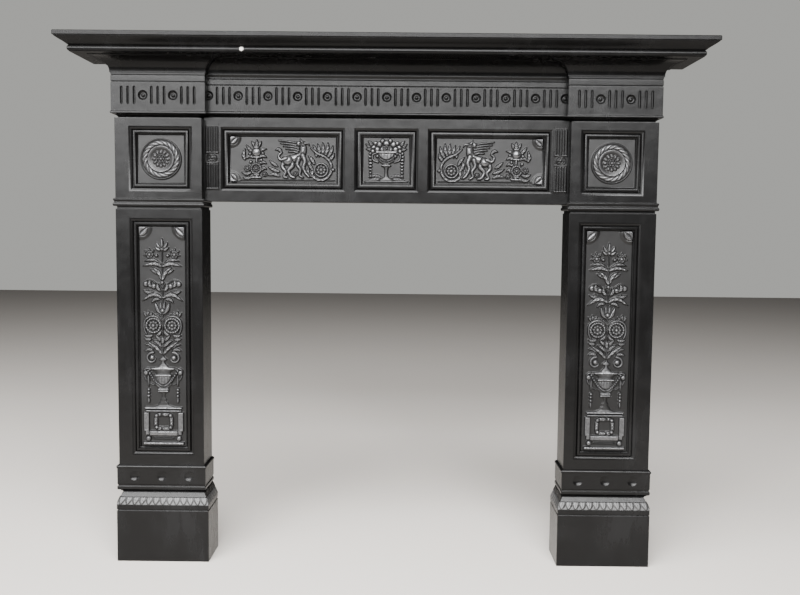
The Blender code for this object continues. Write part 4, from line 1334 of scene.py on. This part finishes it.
@dataclass
class Jamb:
    """One jamb casting: plinth, band, leg, corner block and frieze block, in metres."""

    workshop: Workshop
    leg: Plan = Plan(0.4825, 0.7110, 0.1003)
    plinth: Plan = Plan(0.4665, 0.7125, 0.1216)
    band: Plan = Plan(0.4780, 0.7155, 0.1048)
    cap_height: float = 0.0510
    cap_slope: float = 0.0090
    neck_proud: float = 0.0060
    foot_plate: float = 0.0120
    hollow_top: float = 1.2815
    hollow_inset: float = 0.0075
    header_front: float = 0.0786
    panel_sides: Point = (0.5080, 0.6750)
    panel_top_margin: float = 0.0300
    panel_drop: float = 0.0050
    moulding: float = 0.0250
    dish_pitch: float = 0.0731
    leaves: int = 13
    side_leaves: int = 6
    leaf_rise: float = 3.6
    corner_ease: float = 0.0014
    line_ease: float = 0.0011

    def body(self) -> Form:
        """The jamb's blocks and mouldings from the floor to the top of the frieze.

        Returns:
            The closed body.
        """
        band_height = LEVELS.band_top - LEVELS.band_bottom
        line = [self.plinth.step(0.0, 0.0)]
        line += self.plinth.mould(CAP_SECTION, self.cap_slope, LEVELS.plinth_top, self.cap_height)
        line += self.band.mould([(-0.6, 0.985)], self.cap_slope, LEVELS.plinth_top, self.cap_height)
        line += self.band.mould(BAND_SECTION, self.cap_slope, LEVELS.band_bottom, band_height)
        line += [self.leg.step(0.0, LEVELS.band_top + 0.03 * band_height),
                 self.leg.step(0.0, LEVELS.neck_bottom - 0.0065),
                 self.leg.step(-0.0030, LEVELS.neck_bottom - 0.0060)]
        line += self.leg.mould(NECK_SECTION, self.neck_proud, LEVELS.neck_bottom, LEVELS.neck_height)
        line += self.leg.mould(NECKING_SECTION, 1.0, LEVELS.block_top, LEVELS.necking)
        line += BLOCK.mould([(LEVELS.fillet, 0.0), (LEVELS.fillet, 0.043)], 1.0, LEVELS.frieze_bottom,
                            LEVELS.frieze_height)
        line += [BLOCK.step(offset, z) for offset, z in LEVELS.frieze_lines()]
        return loft([self.ring(*step) for step in ease(line, self.line_ease, 2)])

    def ring(self, inner: float, outer: float, depth: float, z: float) -> Outline:
        """The plan of the body at one height, its front corners eased.

        Args:
            inner: The inner side.
            outer: The outer side.
            depth: How far it stands out.
            z: The height.

        Returns:
            The plan's corners.
        """
        plan = ease([(inner, 0.0), (inner, depth), (outer, depth), (outer, 0.0)], self.corner_ease)
        return [LEVELS.at(x, out, z) for x, out in plan]

    def build(self) -> None:
        """Build both jambs and their relief."""
        leg_panel = PanelRecess(*self.panel_sides, LEVELS.leg_panel_bottom,
                                LEVELS.neck_bottom - self.panel_top_margin, self.leg.depth, self.moulding)
        square_panel = PanelRecess(*self.panel_sides, LEVELS.panel_bottom - self.panel_drop,
                                   LEVELS.panel_top, self.leg.depth, self.moulding)
        wall = LEVELS.channel_wall
        middle = (BLOCK.inner + BLOCK.outer) / 2.0
        band_z = LEVELS.band_bottom + 0.59 * (LEVELS.band_top - LEVELS.band_bottom)
        hollow = box(LEVELS.at(self.leg.inner + wall, LEVELS.behind, self.foot_plate),
                     LEVELS.at(self.leg.outer - wall - self.hollow_inset,
                               self.leg.depth - LEVELS.recess - wall, self.hollow_top))
        beyond = 0.02
        seat = box(LEVELS.at(self.plinth.inner - beyond, LEVELS.behind,
                             LEVELS.opening_height - LEVELS.seat_gap),
                   LEVELS.at(LEVELS.opening_half, self.header_front, LEVELS.frieze_top + beyond))
        cuts = [hollow, seat, leg_panel.cut(), square_panel.cut()]
        cuts += FRIEZE.run([middle + i * LEVELS.pitch / 2.0 for i in (-1, 1)],
                           [middle + i * LEVELS.pitch for i in (-1, 0, 1)], BLOCK.depth)
        cuts += [FRIEZE.sunk_round(DISH_SECTION, FRIEZE.dish_size, middle + i * self.dish_pitch,
                                   self.band.depth, band_z) for i in (-1, 0, 1)]
        tall, square = Carving(leg_panel.field()), Carving(square_panel.field(), grid=0.75)
        tall.leg()
        square.round_flower()
        # The leaf moulding takes the lighter scoured finish, which is partly a painted highlight.
        plain, panel, scoured_highlit = self.workshop.plain, self.workshop.panel, self.workshop.scoured_highlit
        parts = (("casting", carve_out("jamb_right_casting", self.body(), cuts), plain),
                 ("leg_relief", tall.mesh("leg_relief"), panel), ("patera", square.mesh("patera"), panel),
                 ("leaf_moulding", self.leaf_moulding(), scoured_highlit))
        for side in Side:
            node = f"jamb_{side.name.lower()}"
            for part, mesh, finish in parts:
                own = mesh.copy() if side is Side.RIGHT else mirrored(mesh, part)
                self.workshop.piece(f"{node}_{part}", own, node, finish, part != "casting")

    def leaf_row(self, length: float, leaves: int, place: Matrix) -> Mesh:
        """One row of lamb's-tongue leaves, laid on a slope of the plinth's cap.

        Args:
            length: The row's length along its foot.
            leaves: How many leaves.
            place: Where the middle of its foot is, turned to the side that it faces.

        Returns:
            The row.
        """
        run, climb = 0.73 * self.cap_slope, 0.37 * self.cap_height
        ground = Field(-length / 2.0, length / 2.0, 0.0, float(np.hypot(run, climb)), 0.0)
        row = Carving(ground, grid=0.7, halo=0.6, base=0.2, taper=run)
        row.tongues(leaves, self.leaf_rise)
        mesh = row.mesh("leaf_moulding")
        lean = Matrix.Rotation(-atan2(run, climb), 4, "X")
        mesh.transform(place @ lean @ Matrix.Translation((0.0, -LEVELS.wall, 0.0)))
        return mesh

    def leaf_moulding(self) -> Mesh:
        """The leaves round the plinth's cap, on its front and both sides.

        Returns:
            The rows as one mesh.
        """
        inner, outer, depth = self.plinth.inner, self.plinth.outer, self.plinth.depth
        z = LEVELS.plinth_top + 0.32 * self.cap_height
        middle = (inner + outer) / 2.0
        bm = bmesh.new()
        for length, leaves, x, out, turn in ((outer - inner, self.leaves, middle, depth, 0.0),
                                             (depth, self.side_leaves, outer, depth / 2.0, 90.0),
                                             (depth, self.side_leaves, inner, depth / 2.0, -90.0)):
            place = Matrix.Translation(LEVELS.at(x, out, z)) @ Matrix.Rotation(radians(turn), 4, "Z")
            bm.from_mesh(self.leaf_row(length, leaves, place))
        return to_mesh(bm, "leaf_moulding")


@dataclass
class Header:
    """The header casting: frieze above, three sunk panels and two reeded strips below, in metres."""

    workshop: Workshop
    depth: float = 0.0723
    quirk: float = 0.0080
    rim: float = 0.0120
    moulding: float = 0.0270
    bevel_share: float = 0.31
    panel_top: float = 1.1625
    centre_half: float = 0.0855
    side_panel: Point = (0.1090, 0.4390)
    strip_sides: Point = (0.0395, 0.0025)
    strip_ends: Point = (0.0010, 0.0080)
    repeats: int = 6
    lift: float = 0.0050
    flute_lift: float = 0.0042
    arris: float = 0.0010
    line_ease: float = 0.0009

    def body(self) -> Form:
        """The header's plate and mouldings.

        Returns:
            The closed body.
        """
        half = LEVELS.opening_half - LEVELS.seat_gap
        foot, top, necking = LEVELS.opening_height, LEVELS.block_top + self.lift, LEVELS.necking
        fillet, quirk = LEVELS.frieze_depth + LEVELS.fillet, self.depth - self.quirk
        low = LEVELS.frieze_bottom + self.lift
        shrink = (LEVELS.frieze_height - 2.0 * self.lift) / LEVELS.frieze_height
        line = [(self.depth, foot), (self.depth, top), (quirk, top + 0.06 * necking),
                (quirk, top + 0.20 * necking), (self.depth + self.arris, top + 0.86 * necking),
                (fillet, top + 0.92 * necking), (fillet, low + 0.003)]
        line += [(LEVELS.frieze_depth + offset, low + (z - LEVELS.frieze_bottom) * shrink)
                 for offset, z in LEVELS.frieze_lines()]
        line += [(LEVELS.frieze_depth + 0.0045, LEVELS.frieze_top - LEVELS.seat_gap)]
        start = [(self.depth - self.arris, foot), (self.depth, foot + self.arris)]
        return loft([[LEVELS.at(-half, 0.0, z), LEVELS.at(-half, depth, z), LEVELS.at(half, depth, z),
                      LEVELS.at(half, 0.0, z)] for depth, z in start + ease(line, self.line_ease, 2)[1:]])

    def build(self) -> None:
        """Build the header and its relief."""
        half = LEVELS.opening_half - LEVELS.seat_gap
        rest = (LEVELS.panel_bottom, self.panel_top, self.depth, self.moulding, self.bevel_share)
        right = PanelRecess(*self.side_panel, *rest)
        left = PanelRecess(-self.side_panel[1], -self.side_panel[0], *rest)
        centre = PanelRecess(-self.centre_half, self.centre_half, *rest)
        cuts = [box(LEVELS.at(self.rim - half, LEVELS.behind, LEVELS.opening_height + self.rim),
                    LEVELS.at(half - self.rim, self.depth - LEVELS.recess - LEVELS.channel_wall,
                              LEVELS.frieze_top - self.rim))]
        cuts += [panel.cut() for panel in (left, centre, right)]
        cuts += FRIEZE.run([i * LEVELS.pitch for i in range(-self.repeats, self.repeats + 1)],
                           [(i + 0.5) * LEVELS.pitch for i in range(-self.repeats, self.repeats)],
                           LEVELS.frieze_depth, self.flute_lift)
        casting = carve_out("header_casting", self.body(), cuts)
        side, square = Carving(right.field(), 0.8, mirror=False), Carving(centre.field(), grid=0.75)
        side.side_panel()
        square.centre_panel()
        x0, x1 = (LEVELS.opening_half - inset for inset in self.strip_sides)
        strip_ground = Field(x0, x1, LEVELS.panel_bottom - self.strip_ends[0],
                             self.panel_top + self.strip_ends[1], self.depth)
        strip = Carving(strip_ground, 0.75, base=0.2, mirror=False)
        strip.strip()
        plain, panel = self.workshop.plain, self.workshop.panel
        self.workshop.piece("header_casting", casting, "header", plain)
        centre_mesh = square.mesh("header_centre_relief")
        self.workshop.piece("header_centre_relief", centre_mesh, "header", panel, True)
        for part, carving, finish in (("relief", side, panel), ("strip", strip, plain)):
            mesh = carving.mesh(f"header_right_{part}")
            twin = mirrored(mesh, f"header_left_{part}")
            self.workshop.piece(f"header_right_{part}", mesh, "header", finish, True)
            self.workshop.piece(f"header_left_{part}", twin, "header", finish, True)


@dataclass
class Shelf:
    """The shelf casting: a plate with a moulded rim, and the bed moulding under it, in metres."""

    workshop: Workshop
    half: float = 0.8267
    depth: float = 0.2160
    edge: float = 0.0315
    bed_spread: float = 0.0450
    plate: float = 0.0100
    hollow_front: float = 0.0623
    corner_ease: float = 0.0016
    rim_ease: float = 0.0012

    def board_ring(self, inset: float, z: float) -> Outline:
        """The plan of the shelf board, drawn in at its front and ends."""
        half, depth = self.half - inset, self.depth - inset
        plan = ease([(-half, 0.0), (-half, depth), (half, depth), (half, 0.0)], self.corner_ease)
        return [LEVELS.at(x, out, z) for x, out in plan]

    def bed_ring(self, offset: float, z: float) -> Outline:
        """The plan of the bed moulding, which breaks forward over each jamb."""
        inner, outer, front, _ = BLOCK.step(offset, z)
        right = [(inner, LEVELS.frieze_depth + offset), (inner, front), (outer, front), (outer, 0.0)]
        plan = ease([(-x, out) for x, out in reversed(right)] + right, self.rim_ease, 2)
        return [LEVELS.at(x, out, z) for x, out in plan]

    def board(self) -> Form:
        """The board: from its lowest bead up through the cyma to the fillet.

        Returns:
            The closed board.
        """
        height = LEVELS.shelf_top - LEVELS.soffit
        turns = [radians(degrees) for degrees in range(15, 166, 15)]
        bead = [(0.98 - 0.13 * sin(a) + 0.02 * (1 - cos(a)) / 2, 0.265 - 0.13 * cos(a)) for a in turns]
        cyma = flow([(0.94, 0.405), (0.86, 0.44), (0.65, 0.535), (0.365, 0.635), (0.14, 0.725),
                     (0.095, 0.76)], 4)
        steps = [(0.98, 0.11), (1.0, 0.13), *bead, (0.985, 0.398), (0.945, 0.402), *map(tuple, cyma),
                 (0.095, 0.778), (0.0, 0.785), (0.0, 0.97), (0.05, 1.0)]
        line = ease([(share * self.edge, LEVELS.soffit + rise * height) for share, rise in steps],
                    self.rim_ease)
        return loft([self.board_ring(inset, z) for inset, z in line])

    def bed(self) -> Form:
        """The bed moulding: a cove under a plain fillet.

        Returns:
            The closed moulding.
        """
        height = LEVELS.soffit - LEVELS.frieze_top
        cove = [(0.05 + 0.93 * (1.0 - cos(turn)), 0.09 + 1.03 * sin(turn))
                for turn in (radians(9 * i) for i in range(11))]
        steps = [(0.05, 0.0), (0.05, 0.075)] + cove + [(1.0, 1.14), (1.0, 1.22)]
        return loft([self.bed_ring(share * self.bed_spread, LEVELS.frieze_top + rise * height)
                     for share, rise in ease(steps, 0.02, 2)])

    def build(self) -> None:
        """Build the shelf."""
        side = BLOCK.outer - LEVELS.channel_wall
        for name, body in (("shelf_board", self.board()), ("shelf_bed_moulding", self.bed())):
            hollow = box(LEVELS.at(-side, LEVELS.behind, LEVELS.frieze_top - 0.02),
                         LEVELS.at(side, self.hollow_front, LEVELS.shelf_top - self.plate))
            self.workshop.piece(name, carve_out(name, body, [hollow]), "shelf", self.workshop.sooty)


# Studio


@dataclass(frozen=True)
class Softbox:
    """A soft area light that faces a point."""

    name: str
    place: Place
    aim: Place
    size: Point
    power: float

    def build(self) -> None:
        """Put the light in the scene."""
        lamp = bpy.data.lights.new(self.name, "AREA")
        lamp.shape = "RECTANGLE"
        lamp.size, lamp.size_y = self.size
        lamp.energy = self.power
        obj = bpy.data.objects.new(self.name, lamp)
        obj.location = self.place
        obj.rotation_euler = (Vector(self.aim) - Vector(self.place)).to_track_quat("-Z", "Y").to_euler()
        bpy.context.scene.collection.objects.link(obj)


LIGHTS = (Softbox("window_left", (-3.1, -5.0, 1.85), (-3.1, 0.0, 1.7), (3.8, 1.4), 200.0),
          Softbox("window_middle", (-0.1, -5.0, 2.05), (-0.1, 0.0, 1.9), (2.2, 0.9), 80.0),
          Softbox("window_right", (2.3, -5.0, 2.1), (2.3, 0.0, 1.9), (2.6, 0.9), 39.0),
          Softbox("window_side", (-5.5, -1.9, 1.3), (0.0, 0.0, 0.9), (2.4, 1.6), 70.0),
          Softbox("sky", (-0.6, -5.0, 3.35), (-0.4, 0.0, 1.0), (6.4, 1.5), 1200.0),
          Softbox("overhead", (-0.4, -1.5, 3.3), (0.0, -0.1, 0.6), (3.6, 1.4), 330.0))


@dataclass(frozen=True)
class Studio:
    """Floor, lights and camera."""

    floor: Colour = (0.57, 0.535, 0.495, 1.0)
    floor_half: float = 6.0
    floor_back: float = 3.8
    floor_shade: float = 0.96
    sky: Colour = (0.42, 0.42, 0.40, 1.0)
    sky_strength: float = 1.0
    glow: Colour = (0.30, 0.29, 0.28, 1.0)
    glow_strength: float = 0.12
    camera_place: Place = (0.0522, -2.3621, 0.9022)
    pitch_down: float = 0.0781
    yaw: float = 0.0051
    roll: float = 0.0100
    lens: float = 40.41

    def build(self) -> None:
        """Put floor, lights and camera in the scene."""
        self.ground()
        self.surroundings()
        for light in LIGHTS:
            light.build()
        self.camera()

    def ground(self) -> None:
        """Put the floor in the scene."""
        bm = bmesh.new()
        bmesh.ops.create_grid(bm, x_segments=1, y_segments=1, size=self.floor_half)
        bmesh.ops.translate(bm, verts=bm.verts, vec=(0.0, self.floor_back, 0.0))
        ground = bpy.data.objects.new("floor", to_mesh(bm, "floor"))
        bpy.context.scene.collection.objects.link(ground)
        sheet = NodeSheet("floor")
        darker = tuple(self.floor_shade * part for part in self.floor[:3]) + (1.0,)
        sheet.finish({"Base Color": sheet.mix(sheet.noise(1.2, 3.0), darker, self.floor), "Roughness": 0.7})
        ground.data.materials.append(sheet.material)

    def surroundings(self) -> None:
        """Set the backdrop that the camera sees, and the weaker glow that lights the surround."""
        world = bpy.data.worlds.new("studio")
        bpy.context.scene.world = world
        world.use_nodes = True
        tree = world.node_tree
        blend = tree.nodes.new("ShaderNodeMixShader")
        shades = ((tree.nodes["Background"], self.glow, self.glow_strength),
                  (tree.nodes.new("ShaderNodeBackground"), self.sky, self.sky_strength))
        for i, (shade, colour, strength) in enumerate(shades):
            shade.inputs["Color"].default_value = colour
            shade.inputs["Strength"].default_value = strength
            tree.links.new(shade.outputs[0], blend.inputs[i + 1])
        seen = tree.nodes.new("ShaderNodeLightPath")
        tree.links.new(seen.outputs["Is Camera Ray"], blend.inputs["Fac"])
        tree.links.new(blend.outputs[0], tree.nodes["World Output"].inputs["Surface"])

    def camera(self) -> None:
        """Put the camera in the scene."""
        data = bpy.data.cameras.new("camera")
        data.sensor_width = 36.0
        data.lens = self.lens
        camera = bpy.data.objects.new("camera", data)
        turn = Matrix.Rotation(self.yaw, 4, "Z") @ Matrix.Rotation(pi / 2.0 - self.pitch_down, 4, "X")
        turn = turn @ Matrix.Rotation(self.roll, 4, "Z")
        camera.matrix_world = Matrix.Translation(self.camera_place) @ turn
        bpy.context.scene.collection.objects.link(camera)
        bpy.context.scene.camera = camera


def main() -> None:
    """Build the surround and its studio."""
    logging.basicConfig(level=logging.INFO, format="%(name)s: %(message)s")
    workshop = Workshop(BlackLead().material(), PANEL.material(), SCOURED_HIGHLIT.material(), SOOTY.material())
    Jamb(workshop).build()
    Header(workshop).build()
    Shelf(workshop).build()
    Studio().build()
    LOG.info("%d pieces", len(workshop.made))


if __name__ == "__main__":
    main()
